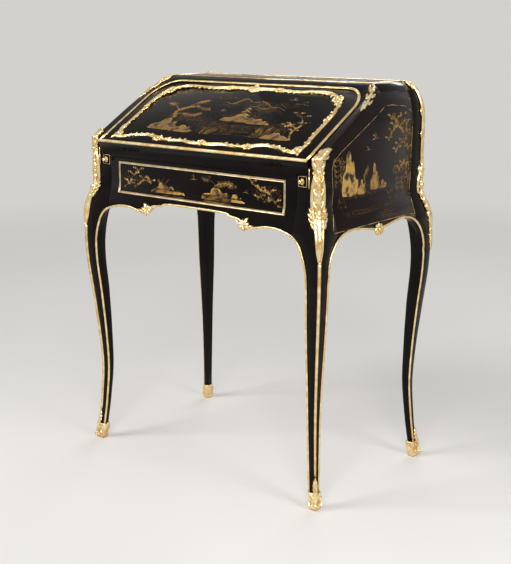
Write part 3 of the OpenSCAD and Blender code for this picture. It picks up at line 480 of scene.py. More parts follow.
# An acanthus leaf on a surface: chart(across, along, out) gives a place; path is its midrib. The
# lobes are cut by slanting grooves that start at the midrib and end in the notches of its edge.
def leaf(chart, path, half, lift, lobes=5, curl=0, root=0.5, across=8):
    rows = 5 * lobes + 3 if lobes else max(10, 5 * len(path))
    verts = []
    for p, aside, u in rows_along(path, rows):
        swell = root + (1 - root) * math.sin(math.pi / 2 * min(1, u / 0.4))
        body = swell * math.cos(math.pi / 2 * max(0, (u - 0.45) / 0.55) ** 1.5)
        notch = 1 - abs(math.sin(math.pi * lobes * (u - 0.22))) if lobes else 0
        width = half * body * (1 - 0.42 * notch)
        for j in range(across + 1):
            v = 2 * j / across - 1
            slant = 1 - abs(math.sin(math.pi * lobes * (u - 0.22 * abs(v)))) if lobes else 0
            dome = max(0, 1 - abs(v) ** 2.2) ** 0.55
            rib_cut = math.exp(-((v / 0.2) ** 2)) if lobes else 0
            relief = dome * (1 - 0.45 * slant**1.5 * min(1, 2.2 * abs(v))) - 0.3 * rib_cut * (1 - u)
            h = lift * (0.3 + 0.7 * body) * relief + curl * u**2.5
            if j in (0, across):
                h = -0.25 + max(0, curl * u**2.5 - 0.8)
            at = p + aside * (v * width)
            verts.append(chart(at[0], at[1], h) * mm)
    return verts, quads(rows + 1, across + 1) + [tuple(range(across + 1))]


# A rounded stem with a fine groove on either side, for C and S scrolls.
def stem(chart, path, half, lift, ends=(0.5, 0.5), across=8):
    rows = max(8, 5 * len(path))
    verts = []
    for p, aside, u in rows_along(path, rows):
        body = min(1, ends[0] + (1 - ends[0]) * u * 4, ends[1] + (1 - ends[1]) * (1 - u) * 4)
        for j in range(across + 1):
            v = 2 * j / across - 1
            dome = max(0, 1 - v * v) ** 0.5
            groove = 0.28 * math.exp(-(((abs(v) - 0.55) / 0.14) ** 2))
            h = lift * body * (dome - groove) if 0 < j < across else -0.25
            at = p + aside * (v * half * body)
            verts.append(chart(at[0], at[1], h) * mm)
    return verts, capped(rows + 1, across + 1)


# Faces of a dome: a middle point, then rings of n points, and a floor over the last ring.
def domed(rings, n):
    faces = [(0, 1 + k, 1 + (k + 1) % n) for k in range(n)]
    for r in range(rings - 1):
        for k in range(n):
            a, b = 1 + r * n + k, 1 + r * n + (k + 1) % n
            faces.append((a, a + n, b + n, b))
    return faces + [tuple(range(1 + (rings - 1) * n, 1 + rings * n))[::-1]]


def boss(chart, at, radius, lift, around=12):
    verts = [chart(at[0], at[1], lift) * mm]
    for r, h in ((radius * 0.45, 0.9), (radius * 0.8, 0.55), (radius, -0.25)):
        for c, s in turns_of(around):
            verts.append(chart(at[0] + r * c, at[1] + r * s, h * lift) * mm)
    return verts, domed(3, around)


def scroll_end(centre, radius, start, turns, ways=1):
    made = []
    for k in range(9):
        r, t = radius * (1 - 0.62 * k / 8), start + ways * turns * math.pi * k / 4
        made.append((centre[0] + r * math.cos(t), centre[1] + r * math.sin(t)))
    return made


# A leaf or stem for each row, which is a path and its sizes, and its mirror image beside it.
def several(maker, chart, rows, ways=(1,)):
    return [
        maker(chart, [(s * a, b) for a, b in path], *sizes) for path, *sizes in rows for s in ways
    ]


def both_ways(maker, chart, rows):
    return several(maker, chart, rows, (1, -1))


def bosses(chart, rows):
    return [boss(chart, *row) for row in rows]


# Charts of the corners: across runs from the front or back face (below 0), over the sharp corner,
# to the side face (above 0). Along is the height, and past the turn the way up the slope.
slope, slope_y, slope_z = math.radians(30.19), -197.04, 712.1
slope_up = Vector((0, math.cos(slope), math.sin(slope)))
slope_out = Vector((0, -math.sin(slope), math.cos(slope)))
slope_foot = slope_z - (half_d + slope_y) * math.tan(slope)
side_roll, back_roll, roll_high = 38, 28, 80
roll_foot = desk_top - roll_high


def eased(share):
    share = min(1, max(0, share))
    return share * share * (3 - 2 * share)


def over_corner(ridge, ways, outs, across, out):
    turn = eased((across + 5) / 10) * math.pi / 2
    normal = (outs[0] * math.cos(turn) + outs[1] * math.sin(turn)).normalized()
    return ridge + ways[0 if across < 0 else 1] * abs(across) + normal * out


def front_corner(across, along, out):
    lean = eased((along - slope_foot + 7) / 14)
    normal = (slope_out * lean - backward * (1 - lean)).normalized()
    if along > slope_foot:
        ridge = Vector((half_w, -half_d, slope_foot)) + slope_up * (along - slope_foot)
    else:
        ridge = Vector((half_w + bow(along), -half_d - bow(along), along))
    return over_corner(ridge, (-rightward, -normal), (normal, rightward), across, out)


# The upper rear edges roll inward over a quarter of an ellipse.
def roll(z, inward):
    u = (z - roll_foot) / roll_high
    return 0 if u <= 0 else inward * (1 - math.sqrt(max(0, 1 - u * u)))


def leaning(z, inward):
    u = min(0.985, max(0, (z - roll_foot) / roll_high))
    return inward / roll_high * u / math.sqrt(1 - u * u)


roll_steps, roll_run = [], [0]
for k in range(41):
    z = roll_foot + roll_high * math.sin(k * math.pi / 80)
    roll_steps.append((z, roll(z, side_roll), roll(z, back_roll)))
for a, b in zip(roll_steps, roll_steps[1:]):
    roll_run.append(roll_run[-1] + math.dist(a, b))


def height_along(along):
    if along <= roll_foot:
        return along
    along -= roll_foot
    k = max(i for i in range(40) if along >= roll_run[i])
    share = min(1, (along - roll_run[k]) / (roll_run[k + 1] - roll_run[k]))
    return roll_steps[k][0] + share * (roll_steps[k + 1][0] - roll_steps[k][0])


def side_out(z):
    return Vector((1, 0, leaning(z, side_roll))).normalized()


def rear_corner(across, along, out):
    z = height_along(along)
    x, y = half_w + bow(z) - roll(z, side_roll), half_d + bow(z) - roll(z, back_roll)
    outs = (Vector((0, 1, leaning(z, back_roll))).normalized(), side_out(z))
    return over_corner(Vector((x, y, z)), (-rightward, -backward), outs, across, out)


def head_corner(across, along, out):
    z = height_along(along)
    y = slope_y + (z - slope_z) / math.tan(slope)
    ways = (-rightward, Vector((0, math.sin(slope), -math.cos(slope))))
    ridge = Vector((half_w - roll(z, side_roll), y, z))
    return over_corner(ridge, ways, (slope_out, side_out(z)), across, out)


# Each leaf is a path, half its width, its lift, lobes, curl and the share of width at its root.
front_mount = several(leaf, front_corner, [
    ([(0, 702), (0, 660), (0, 620), (0, 596)], 15, 3, 0, 0, 0.8),
    ([(0, 610), (0, 580), (0, 550), (0, 516)], 12, 3.2, 0, 0, 1),
    ([(0, 608), (0, 580), (0, 550), (0, 517)], 7, 6, 6, 1, 1),
    ([(0, 604), (0, 630), (0, 662), (0, 692)], 7.5, 6.6, 7, 0, 0.8),
    ([(0, 690), (0, 706), (-1, 722), (-1, 738), (3, 757)], 10.5, 6.2, 6, 4, 0.8),
    ([(-2, 692), (-5, 698), (-7, 704), (-8, 711)], 5, 5.4, 3, 1.4),
])  # fmt: skip
front_bosses = [((0, 694), 6.5, 6.6), ((0, 608), 7.5, 7.2), ((0, 520), 3.6, 4.4)]
front_mount += bosses(front_corner, front_bosses)
side_stem = [(8, 600), (12.5, 614), (14.5, 636), (14, 658), (11, 678), (7, 692)]
front_mount += both_ways(stem, front_corner, [
    (side_stem, 4.2, 5.6, (0.7, 0.6), 10),
    ([(9, 604), (7.6, 580), (5.6, 556), (3.6, 536), (2.4, 521)], 3.9, 5, (1, 0.5), 10),
    (scroll_end((10, 692), 3.2, 3.6, 0.9), 1.7, 4.4, (1, 0.6)),
    (scroll_end((15, 612), 3.4, 2.2, 0.9, -1), 1.7, 5, (1, 0.6)),
])  # fmt: skip
paired = [([(4, 692), (9, 700), (12, 710), (13, 722)], 5, 5.2, 4, 2)]
for up, reach in ((616, 21), (607, 24), (598, 23), (589, 18)):
    splayed = [(3, up - 3), (0.45 * reach, up - 3), (0.75 * reach, up), (reach, up + 7)]
    paired.append((splayed, 5.4, 5.8, 4, 2, 0.8))
for up in (626, 651, 676):
    paired.append(([(1.2, up - 7), (4.4, up), (7, up + 5), (8, up + 13)], 3.8, 7.6, 3, 1.8))
for up in (712, 727):
    paired.append(([(2, up - 4), (6, up + 3), (9, up + 9), (9, up + 18)], 4.2, 6.6, 3, 2))
front_mount = joined(front_mount + both_ways(leaf, front_corner, paired))

rear_mount = several(leaf, rear_corner, [
    ([(0, 668), (0, 700), (0, 760), (0, 815), (0, 862)], 9, 4.6, 9, 0, 0.9),
    ([(0, 640), (0, 590), (0, 530), (0, 484)], 7, 3.4, 0, 0, 0.9),
    ([(0, 622), (0, 596), (0, 560), (0, 530)], 13, 5.6, 6, 1),
    ([(0, 548), (0, 526), (0, 505), (0, 484)], 7, 4.6, 5, 0.8),
    ([(0, 634), (0, 648), (1, 662), (2, 682)], 8, 5.4, 4, 1.6),
    ([(0, 866), (0, 850), (1, 832), (2, 815)], 8, 4.6, 4, 1.4),
])  # fmt: skip
rear_mount += bosses(rear_corner, [((0, 628), 7, 6.6), ((0, 868), 6, 5), ((0, 662), 4.5, 6.6)])
rear_mount += both_ways(stem, rear_corner, [
    ([(6, 600), (15, 612), (18, 632), (13, 650), (8, 664)], 2.6, 4.8),
    ([(4, 668), (7, 700), (6.6, 750), (7, 800), (5, 850)], 2.2, 5),
    (scroll_end((12, 664), 5, 3.4, 0.9), 1.9, 4.4, (1, 0.6)),
])  # fmt: skip
paired = [([(3, 862), (8, 856), (12, 848), (14, 836)], 5, 4.6, 4, 1.8)]
for up, reach in ((655, 15), (622, 21), (604, 22), (588, 18), (570, 14), (776, 13), (728, 12)):
    splayed = [(3, up), (reach * 0.5, up + 3), (reach * 0.8, up + 9), (reach, up + 18)]
    paired.append((splayed, 4.2, 4.6, 3, 1.8))
rear_mount = joined(rear_mount + both_ways(leaf, rear_corner, paired))
for end, mount in (("front", front_mount), ("rear", rear_mount)):
    fitted(f"right_{end}_corner_mount", mount, "root", [f"right_{end}_mount"])
    fitted(f"left_{end}_corner_mount", mirrored(mount), "root", [f"left_{end}_mount"])

head_mount = several(leaf, head_corner, [
    ([(0, 823), (-1, 815), (-2, 808), (-2, 800)], 5, 3.6, 4, 1),
    ([(-1, 836), (-6, 841), (-9, 848), (-8, 857)], 5.2, 4.2, 4, 1.4),
    ([(2, 830), (7, 835), (11, 842), (10, 851)], 5.2, 4.2, 4, 1.4),
    ([(1, 848), (0, 855), (-1, 861), (-4, 866)], 6, 4.4, 4, 1),
    ([(0, 818), (6, 820), (9, 825), (9, 832)], 3.8, 3.4, 3, 1),
    ([(-1, 826), (-6, 826), (-9, 829), (-10, 835)], 3.8, 3.4, 3, 1),
])  # fmt: skip
head_stem = [(2, 807), (0, 818), (-2, 833), (0, 848), (3, 859)]
head_mount += [stem(head_corner, head_stem, 3.4, 3.8), boss(head_corner, (0, 845), 5, 5.4)]
fitted("head_corner_mounts", mirrored_too(joined(head_mount)), "root", ["head_mounts"])


# Ridge strips: a drawn strip of bronze is bent over the sharp ridge of each front leg and pinned,
# and widens a little from the shoe to the corner mount.
ridge_rows, ridge_foot, ridge_long = 61, 71, 448
ridge = []
for k in range(ridge_rows):
    share = k / (ridge_rows - 1)
    f = 3.3 + 3.2 * 0.55 * share
    half = [(-f, -0.1), (-0.8 * f, 1.1), (-0.35 * f, 2.1)]
    section = half + [(0, 2.9)] + [(-s, h) for s, h in half[::-1]] + [(0, -0.4)]
    ridge += [front_corner(s, ridge_foot + ridge_long * share, h) * mm for s, h in section]
ridge_pair = mirrored_too((ridge, capped(ridge_rows, len(section))))
fitted("front_ridge_strips", ridge_pair, "root", ["ridge_strips"])


# Shoes: each foot stands in a cast cup with a fluted toe, and an acanthus leaf climbs its ridge.
# The cup reaches out at the corner of the foot and in under its heel by these amounts, by height.
toe_out = [(0, 9.5), (2.5, 11.5), (7.5, 13.2), (12.5, 12.6), (17.5, 9.8), (22.5, 10.4)]
toe_out += [(28, 9.6), (35, 8.4), (44, 6.2), (52, 5.1), (75, 2.2)]
heel_in = [(0, 8), (12.5, 9.2), (17.5, 10.6), (22.5, 12.2), (28, 12.4), (35, 12.6)]


def foot_corner(across, along, out):
    at = read_table(toe_out, along)
    ridge = Vector((half_w + at, -half_d - at, along))
    return over_corner(ridge, (-rightward, backward), (-backward, rightward), across, out)


cup, around = [], 40
cup_heights = [0, 1.6, 4, 7.5, 11, 13.5, 16, 17.5, 19, 21.5, 24, 27.5, 31, 33.5, 35]
for z in cup_heights:
    outer, inner = read_table(toe_out, z), read_table(heel_in, z)
    middle, reach = (outer - inner) / 2, (outer + inner) / 2
    for k in range(around):
        t = 2 * math.pi * k / around
        square = (abs(math.cos(t)) ** 4.5 + abs(math.sin(t)) ** 4.5) ** (-1 / 4.5)
        flute = 1 - 0.07 * abs(math.sin(4 * t + math.pi)) * math.sin(math.pi * min(1, z / 16.5))
        r = reach * square * flute
        x, y = half_w + middle + r * math.cos(t), -half_d - middle - r * math.sin(t)
        cup.append(Vector((x, y, z)) * mm)
shoe = [(cup, capped(len(cup_heights), around)), boss(foot_corner, (0, 18.5), 4.4, 3.2)]
shoe += several(leaf, foot_corner, [
    ([(0, 20), (0, 36), (0, 53), (0, 70)], 8.2, 3.4, 6, 0.6),
    ([(0, 17), (0, 12), (0, 7), (0, 1.5)], 6, 2, 3, 0, 0.8),
])  # fmt: skip
shoe += both_ways(leaf, foot_corner, [
    ([(4, 20), (8, 26), (12, 31), (16, 35)], 4.2, 2.4, 4, 0.6),
    ([(7, 17), (12, 20), (16, 23), (21, 26)], 3.4, 2.2, 3, 0.6),
])  # fmt: skip
toe_scroll = scroll_end((13, 12), 4.6, 1.6, 0.9, -1)
shoe = joined(shoe + both_ways(stem, foot_corner, [(toe_scroll, 1.5, 2.4, (1, 0.6))]))
for side, sx in (("right", 1), ("left", -1)):
    for end, sy in (("front", 1), ("rear", -1)):
        placed = [(sx * v[0], sy * v[1], v[2]) for v in shoe[0]], shoe[1]
        fitted(f"{side}_{end}_shoe", placed, "root", [f"{side}_{end}_sabot"])


# Clasps on the aprons: the bead swells into a small C scroll with a spray of leaves over it.
def front_face(across, along, out):
    return Vector((across, -half_d - bow(along) - out, along))


def side_face(across, along, out):
    face_x = half_w + bow(along) - roll(along, side_roll)
    return Vector((face_x, across, along)) + side_out(along) * out


def spray(chart, at, reach, count, turn, lift=4.6):
    made, half = [], 0.2 * sum(reach)
    for k in range(count):
        t = turn + 2 * math.pi * k / count
        path = [at]
        for share, lag in ((0.55, 0.35), (1, 0)):
            x, y = share * reach[0] * math.cos(t - lag), share * reach[1] * math.sin(t - lag)
            path.append((at[0] + x, at[1] + y))
        made.append(leaf(chart, path, half, lift, 3, 1.2, 0.4, 6))
    return made + [boss(chart, at, 0.11 * sum(reach), lift * 1.25)]


apron_clasp = spray(front_face, (140, 573), (15, 12), 7, 0.5)
apron_clasp.append(stem(front_face, scroll_end((130, 577), 5, -1.2, 0.9), 2, 4, (1, 0.6)))
apron_clasp += several(leaf, front_face, [
    ([(140, 573), (142, 579), (145, 584), (150, 587)], 5, 4.6, 4, 1.6),
    ([(142, 571), (150, 570), (158, 572), (165, 574)], 3.2, 4, 3, 1),
    ([(138, 571), (130, 571), (122, 577), (117, 585)], 3.2, 4, 3, 1),
])  # fmt: skip
fitted("drawer_clasps", mirrored_too(joined(apron_clasp)), "frieze_drawer", ["frieze_clasps"])
side_clasp = spray(side_face, (0, 559), (16, 13), 8, 0.2)
side_scroll = scroll_end((11, 553), 4.6, 0.6, 0.9)
side_clasp += both_ways(stem, side_face, [(side_scroll, 1.9, 3.8, (1, 0.6))])
fitted("side_clasp_sprays", mirrored_too(joined(side_clasp)), "root", ["side_clasps"])


# Top bead: a half-round bronze bead runs round the flat top in four lengths, mitred at the corners
# and pinned, so each corner catches the light as one sharp line.
def framed(chart, turns, section):
    verts = [chart(x + sx * s, z + sz * s, h) * mm for x, z, sx, sz in turns for s, h in section]
    return verts, quads(len(turns), len(section), closed=True)


top_x, top_front, top_back = 276, 43, 156
top_turns = [(a * top_x, top_front if b < 0 else top_back, a, b) for a, b in round_square]
rounded = [(2.2 * c, 2 * s) for c, s in half_circle[1:-1]]
rounded = [(2.2, -0.2)] + rounded + [(-2.2, -0.2)]
top = framed(lambda x, y, out: Vector((x, y, desk_top + out)), top_turns, rounded)
fitted("top_edge_bead", top, "root", ["top_bead"])


# Fall: a board that drops forward to make the writing surface, lacquered like the case. Its bronze
# moulding and edge bead are run in lengths and mitred.
finished("fall_panel", black_lacquer, 0.5)
fall_hw, fall_l, fall_t = 294.5, 256.2, 14
fall_foot = Vector((0, -190, 700))


def fall_face(across, along, out):
    return fall_foot + rightward * across + slope_up * along + slope_out * (fall_t + out)


inset, edge_foot, corner_wide, corner_high = 3.5, 7.9, 60, 75
wide, up = fall_hw - corner_wide, fall_l - corner_high
edge = [(fall_hw - inset, edge_foot + (up - edge_foot) * k / 6) for k in range(6)]
for c, s in turns_of(20, math.pi / 2):
    edge.append((wide + (corner_wide - inset) * c, up + (corner_high - inset) * s))
edge += [(wide * (1 - k / 8), fall_l - inset) for k in range(9)]
edge = [fall_face(x, u, 0) for x, u in edge + [(-x, u) for x, u in edge[-2::-1]]]
edge_section = [(-3.1, -0.2), (-3.1, 1.4), (-2.4, 2.2), (-1.4, 2.3), (-0.6, 1.6), (0.3, 1.1)]
edge_section += [(1.2, 1.1), (2, 1.6), (2.7, 1.5), (3.1, 0.9), (3.1, -0.2)]
fitted("fall_edge_bead", strip(edge, slope_out, edge_section), "fall", ["fall_bead"])
moulding = [(0.3, -0.1), (0.3, 1.5), (1, 2.5), (2.2, 3), (3.6, 2.8), (4.4, 1.9), (5, 1.7)]
moulding += [(5.8, 2.4), (7.2, 2.2), (8, 1.4), (8, -0.1)]
run = [fall_face(x, u, h) * mm for x in (-fall_hw, fall_hw) for u, h in moulding]
made = fitted("fall_foot_moulding", (run, capped(2, len(moulding))), "fall", ["fall_moulding"])
made.data.polygons.foreach_set("use_smooth", [False] * len(made.data.polygons))


# Border of the fall: a winding bronze branch with a thinner one wound about it, cast in pieces that
# meet under leafy clasps. Small leaves grow along it to either side.
def new_growth(name, ground, **sizes):
    tree = bpy.data.node_groups.new(name, "GeometryNodeTree")
    face = tree.interface
    face.new_socket(ground, in_out="INPUT", socket_type="NodeSocketGeometry")
    face.new_socket("Pattern", in_out="INPUT", socket_type="NodeSocketObject")
    for label, value in sizes.items():
        given = face.new_socket(label, in_out="INPUT", socket_type="NodeSocketFloat")
        given.default_value = value
    face.new_socket("Geometry", in_out="OUTPUT", socket_type="NodeSocketGeometry")
    return tree, add_node(tree, "NodeGroupInput").outputs


def patterns_on(tree, given, points, turned, seed, material):
    shape = add_node(tree, "GeometryNodeObjectInfo", None, {"Object": given["Pattern"]})
    limits = {"Min": given["Smallest"], "Max": given["Largest"]}
    size = add_node(tree, "FunctionNodeRandomValue", {"Seed": seed}, limits)
    laid = {"Points": points, "Instance": shape.outputs["Geometry"], "Scale": size}
    put = add_node(tree, "GeometryNodeInstanceOnPoints", None, {**laid, "Rotation": turned})
    real = add_node(tree, "GeometryNodeRealizeInstances", None, {"Geometry": put})
    coated = add_node(tree, "GeometryNodeSetMaterial", {"Material": material}, {"Geometry": real})
    add_node(tree, "NodeGroupOutput", None, {0: coated})


sizes = {"Spacing": 0.0075, "Smallest": 0.75, "Largest": 1.25, "Spread": 0.5}
twigs, given = new_growth("leaves_on_branch", "Branch", **sizes)
path = add_node(twigs, "GeometryNodeMeshToCurve", None, {"Mesh": given["Branch"]})
spacing = {"Curve": path, "Length": given["Spacing"]}
spaced = add_node(twigs, "GeometryNodeResampleCurve", None, spacing, mode="LENGTH")
way = {"Vector": add_node(twigs, "GeometryNodeInputTangent")}
along = add_node(twigs, "FunctionNodeAlignEulerToVector", None, way, axis="X")
number = {0: add_node(twigs, "GeometryNodeInputIndex")}
odd = add_node(twigs, "Math", {1: 2}, number, operation="MODULO")
flip = add_node(twigs, "Math", {1: 2, 2: -1}, {0: odd}, operation="MULTIPLY_ADD")
swing = {0: flip, 1: given["Spread"]}
swing = add_node(twigs, "Math", None, swing, operation="MULTIPLY")
turn = add_node(twigs, "CombineXYZ", None, {"Z": swing})
turn = {"Rotation": along, "Rotate By": turn}
turned = add_node(twigs, "FunctionNodeRotateEuler", None, turn, space="LOCAL")
patterns_on(twigs, given, spaced, turned, 4, gilt_bronze)


# What a tree grows on a path in mm, laid on a chart and let into it a little.
def grown(tree, chart, path, sink=0, faces=(), **sizes):
    mesh = bpy.data.meshes.new(tree.name)
    edges = [] if faces else [(k, k + 1) for k in range(len(path) - 1)]
    mesh.from_pydata([(p[0] * mm, p[1] * mm, 0) for p in path], edges, list(faces))
    line = new_object(tree.name, mesh)
    growth = line.modifiers.new("growth", "NODES")
    growth.node_group = tree
    for socket in tree.interface.items_tree:
        if socket.in_out == "INPUT" and socket.name in sizes:
            growth[socket.identifier] = sizes[socket.name]
    bpy.context.view_layer.update()
    seen = line.evaluated_get(bpy.context.evaluated_depsgraph_get())
    mesh = bpy.data.meshes.new_from_object(seen)
    bpy.data.objects.remove(line)
    flat = [v.co / mm for v in mesh.vertices]
    faces = [tuple(p.vertices) for p in mesh.polygons]
    bpy.data.meshes.remove(mesh)
    return [chart(v[0], v[1], v[2] - sink) * mm for v in flat], faces


border_half = [
    (0, 25), (30, 24), (56.5, 29), (99.5, 26), (126.5, 28), (149.5, 35), (169.5, 38), (204.5, 33),
    (234.5, 25), (256.5, 26), (258.5, 60), (258.5, 110), (258.5, 155), (249.5, 192), (226.5, 220),
    (188.5, 232), (118.5, 229), (58.5, 233), (0, 231),
]  # fmt: skip
lesser = [
    p + Vector((math.cos(0.3 * k), math.sin(0.3 * k))) * 2.4
    for k, p in enumerate(smooth_line(border_half, 5))
]
branch = [
    stem(fall_face, border_half, 4.1, 4.8, (1, 1), 10),
    stem(fall_face, lesser[::3], 1.6, 5, (1, 1), 6),
]
small_leaf = [(0, 0), (2.6, 1.4), (5, 2.4), (8, 2.6)]
small_leaf = leaf(lambda y, x, z: Vector((x, y, z)), small_leaf, 2.1, 4.2, 3, 0.6, 0.4, 4)
small_leaf = new_piece("leaf_pattern", *small_leaf, gilt_bronze)
flat_border = [p for p in smooth_line(border_half, 6) if p.x < 260]
branch.append(grown(twigs, fall_face, flat_border, 0.2, Pattern=small_leaf))
bpy.data.objects.remove(small_leaf)
fitted("fall_border_branch", mirrored_too(joined(branch)), "fall", ["fall_border"])
clasps = several(leaf, fall_face, [
    ([(126, 28), (112, 26), (100, 30), (92, 36)], 4, 5, 4, 1.4),
    ([(128, 30), (142, 36), (154, 38), (166, 34)], 4, 5, 4, 1.4),
    ([(236, 212), (222, 222), (206, 226), (194, 224)], 4.4, 5.2, 5, 1.4),
    ([(254, 32), (257, 26), (260, 20), (262, 14)], 4.6, 5.4, 4, 1.6),
    ([(256, 36), (261, 48), (262, 60), (259, 74)], 4.4, 5.2, 4, 1.6),
    ([(248, 30), (236, 26), (222, 25), (208, 30)], 4.4, 5.2, 4, 1.6),
    ([(250, 200), (255, 186), (254, 172), (258, 160)], 4, 5, 4, 1.4),
])  # fmt: skip
for at, reach, count, turn, lift in (
    ((126.5, 28), (16, 9.5), 7, 0.3, 5.4),
    ((256.5, 140), (6.5, 17), 7, 0.2, 5.4),
    ((252, 31), (12, 13), 8, 0.4, 5.6),
    ((236.5, 210), (14, 14), 8, 0.1, 5.6),
    ((248, 196), (7, 10), 6, 0.6, 5),
    ((69.5, 230), (15, 8), 7, 0.2, 5.2),
):
    clasps += spray(fall_face, at, reach, count, turn, lift)
middle_clasp = joined(spray(fall_face, (0, 27), (14, 9.5), 8, 0.4, 5.4))
clasps = joined([mirrored_too(joined(clasps)), middle_clasp])
fitted("fall_border_clasps", clasps, "fall", ["border_clasps"])
key_up, key_rim = 230.2, [(-1.6, -3), (-1.6, 1), (0, 2.4), (1.6, 1), (1.6, -3)]
hole = [fall_face(5.5 * c, key_up + 8 * s, 3.2) for c, s in turns_of(24)]
plate = spray(fall_face, (0, key_up), (20, 11), 10, 0.3, 5)[:-1]
plate.append(strip(hole, slope_out, key_rim, closed=True))
plate += bosses(fall_face, [((0, 241), 4.2, 6), ((0, 219.5), 3.8, 5.6)])
fitted("key_plate", joined(plate), "fall", ["key_escutcheon"])


# Frieze drawer: its black front carries a thin frame of pale worn brass that is finely ribbed
# across its lower bar. Behind it is a plain walnut box.
finished("frieze_front", black_lacquer, 0.6)
finished("frieze_box", walnut_deep, 0.4)
frame_x, frame_low, frame_high, frame_w = 236.7, 601.5, 671.6, 5
frame_wide, frame_foot = frame_x - frame_w / 2, frame_low + frame_w / 2
rises = [(frame_wide, frame_foot + 3 * k, 1, 0) for k in range(1, 10)]
turns = [(-frame_wide, frame_foot, -1, -1), (frame_wide, frame_foot, 1, -1), *rises]
turns += [(sx * frame_wide, frame_high - frame_w / 2, sx, 1) for sx in (1, -1)]
turns += [(-x, z, -sx, sz) for x, z, sx, sz in rises[::-1]]
frame_section = [(-2.4, -0.2), (-2.4, 1), (-1.9, 1.5), (-1.3, 1.1), (0, 0.8)]
frame_section += [(-s, h) for s, h in frame_section[3::-1]]
rib_gap, rib_count, rib_start = 4.14, 114, -frame_x + 6
rib = [(0, -0.1), (0.35, 1.35), (0.9, 1.5), (1.45, 1.35), (1.8, -0.1)]
rib = [Vector((s + x, z, h)) * mm for x, z in ((-1, 0.8), (1, 4.2)) for s, h in rib]
rib = new_piece("rib_pattern", rib, capped(2, len(rib) // 2), pale_brass)
row = [(rib_start, frame_low), (rib_start + rib_gap * (rib_count - 1), frame_low)]
alike = {"Spacing": (rib_gap - 0.001) * mm, "Smallest": 1.0, "Largest": 1.0, "Spread": 0.0}
ribs = grown(twigs, front_face, row, Pattern=rib, **alike)
bpy.data.objects.remove(rib)
brass = joined([framed(front_face, turns, frame_section), ribs])
brass = ("frieze_brass_frame", brass, "frieze_drawer", ["frieze_frame"], "pale_brass", pale_brass)
made = fitted(*brass)
made.data.polygons.foreach_set("use_smooth", [False] * len(made.data.polygons))


# Lopers: walnut bars that slide out to carry the open fall. Their ends are lacquered with the
# front and edged with thin brass, and each is drawn by a small bronze knob. Green baize, a felted
# wool with a soft nap and no gloss, saves the fall. Its tufts are 0.7 mm, coarser than real ones.
baize, tree, shader, place = new_material("green_wool_baize", Roughness=0.95, Sheen_Weight=0.5)
felt = add_node(tree, "TexNoise", {"Scale": 1400, "Detail": 4}, {"Vector": place})
colour = clouded(tree, felt, 0, 1, "#16301c", "#2c5534")
nap = add_node(tree, "Bump", {"Distance": 0.0003}, {"Height": felt})
feed(tree, shader, {"Base Color": colour, "Normal": nap})
loper_x, loper_z, loper_top = 277.5, 672.2, 682.3


# The edge of a grid of rows of m points, in order round it.
def rim_of(rows, m):
    last = (rows - 1) * m
    rim = [*range(m), *[i * m + m - 1 for i in range(1, rows)]]
    return rim + [last + j for j in range(m - 2, -1, -1)] + [i * m for i in range(rows - 2, 0, -1)]


# A turned piece whose profile is (radius, out). Its head can be lobed.
def turned_on(chart, profile, around, lobed=0):
    verts = []
    for r, out in profile:
        for k, (c, s) in enumerate(turns_of(around)):
            w = r * (1 - lobed * abs(math.sin(6 * math.pi * k / around)) * (out > 5))
            verts.append(chart(w * c, w * s, out) * mm)
    return verts, capped(len(profile), around)


knob = [(2.6, 0.2), (2.2, 2), (1.9, 4), (2.8, 6), (4.1, 7.4), (4.4, 9), (3.6, 10.4), (1.8, 10.9)]
end_turns = [(10.1 * a, 10.1 * b, a, b) for a, b in round_square]
edging_section = [(-0.55, -0.1), (-0.4, 0.35), (0.4, 0.35), (0.55, -0.1)]
pad_rows, pad_row = 7, 13
for side, sx in (("right", 1), ("left", -1)):
    loper = f"{side}_loper"
    finished(loper, walnut_long, 0.5, black_lacquer)
    pad = []
    for i in range(pad_rows):
        for j in range(pad_row):
            u, v = 2 * i / (pad_rows - 1) - 1, 2 * j / (pad_row - 1) - 1
            crown = (1 - u**8) * (1 - v**10)
            x, y = loper_x + 8.3 * u, -half_d + 3.4 + 12.6 * (v + 1)
            pad.append(Vector((sx * x, y, loper_top + 3.2 * crown**0.5)) * mm)
    pad_faces = quads(pad_rows, pad_row, ring=False) + [tuple(rim_of(pad_rows, pad_row)[::-1])]
    made = fitted(loper + "_baize", (pad, pad_faces), loper, [loper + "_pad"], "baize", baize)

    def pull_face(across, along, out):
        return Vector((sx * (loper_x + across), -half_d - out, loper_z + along))

    pull = spray(pull_face, (0, 0), (5.4, 7), 8, math.pi / 8, 2)[:-1]
    pull += [boss(pull_face, (0, 0), 4.2, 2.2), turned_on(pull_face, knob, 20, lobed=0.09)]
    edging = framed(pull_face, end_turns, edging_section)
    fitted(loper + "_edging", edging, loper, [], "pale_brass", pale_brass)
    fitted(f"{side}_pull", joined(pull), loper, [loper + "_pull"])


# Hinges, lock and strike: brass, painted nearly black on the hinges as painted shade for the shade
# under the fall's moulding, filed bright and yellow on the lock and strike, and pins and bolt of
# grey steel that is polished where it slides.
# The hinge brass is nearly black as painted shade, not as the brass's own colour.
shade_darkened_brass = bronze_of("browned_old_brass", "#080605", "#100b07", "#221809", 0.5)
plain_brass = bronze_of("filed_yellow_brass", "#6a4c1c", "#b98f48", "#d9b870", 0.32)
old_steel = bronze_of("bright_old_steel", "#4a4744", "#8d8a86", "#b4b1ad", 0.3)
# The hinge leaves take the near-black brass, which paints the shade under the moulding.
finished("hinge_fixed_leaves", shade_darkened_brass, 0.2)
finished("hinge_moving_leaves", shade_darkened_brass, 0.2)
finished("hinge_pins", old_steel, 0.1)
finished("strike_plate", plain_brass, 0.15)
finished("lock_case", plain_brass, 0.3)
finished("lock_bolt", old_steel, 0.3)


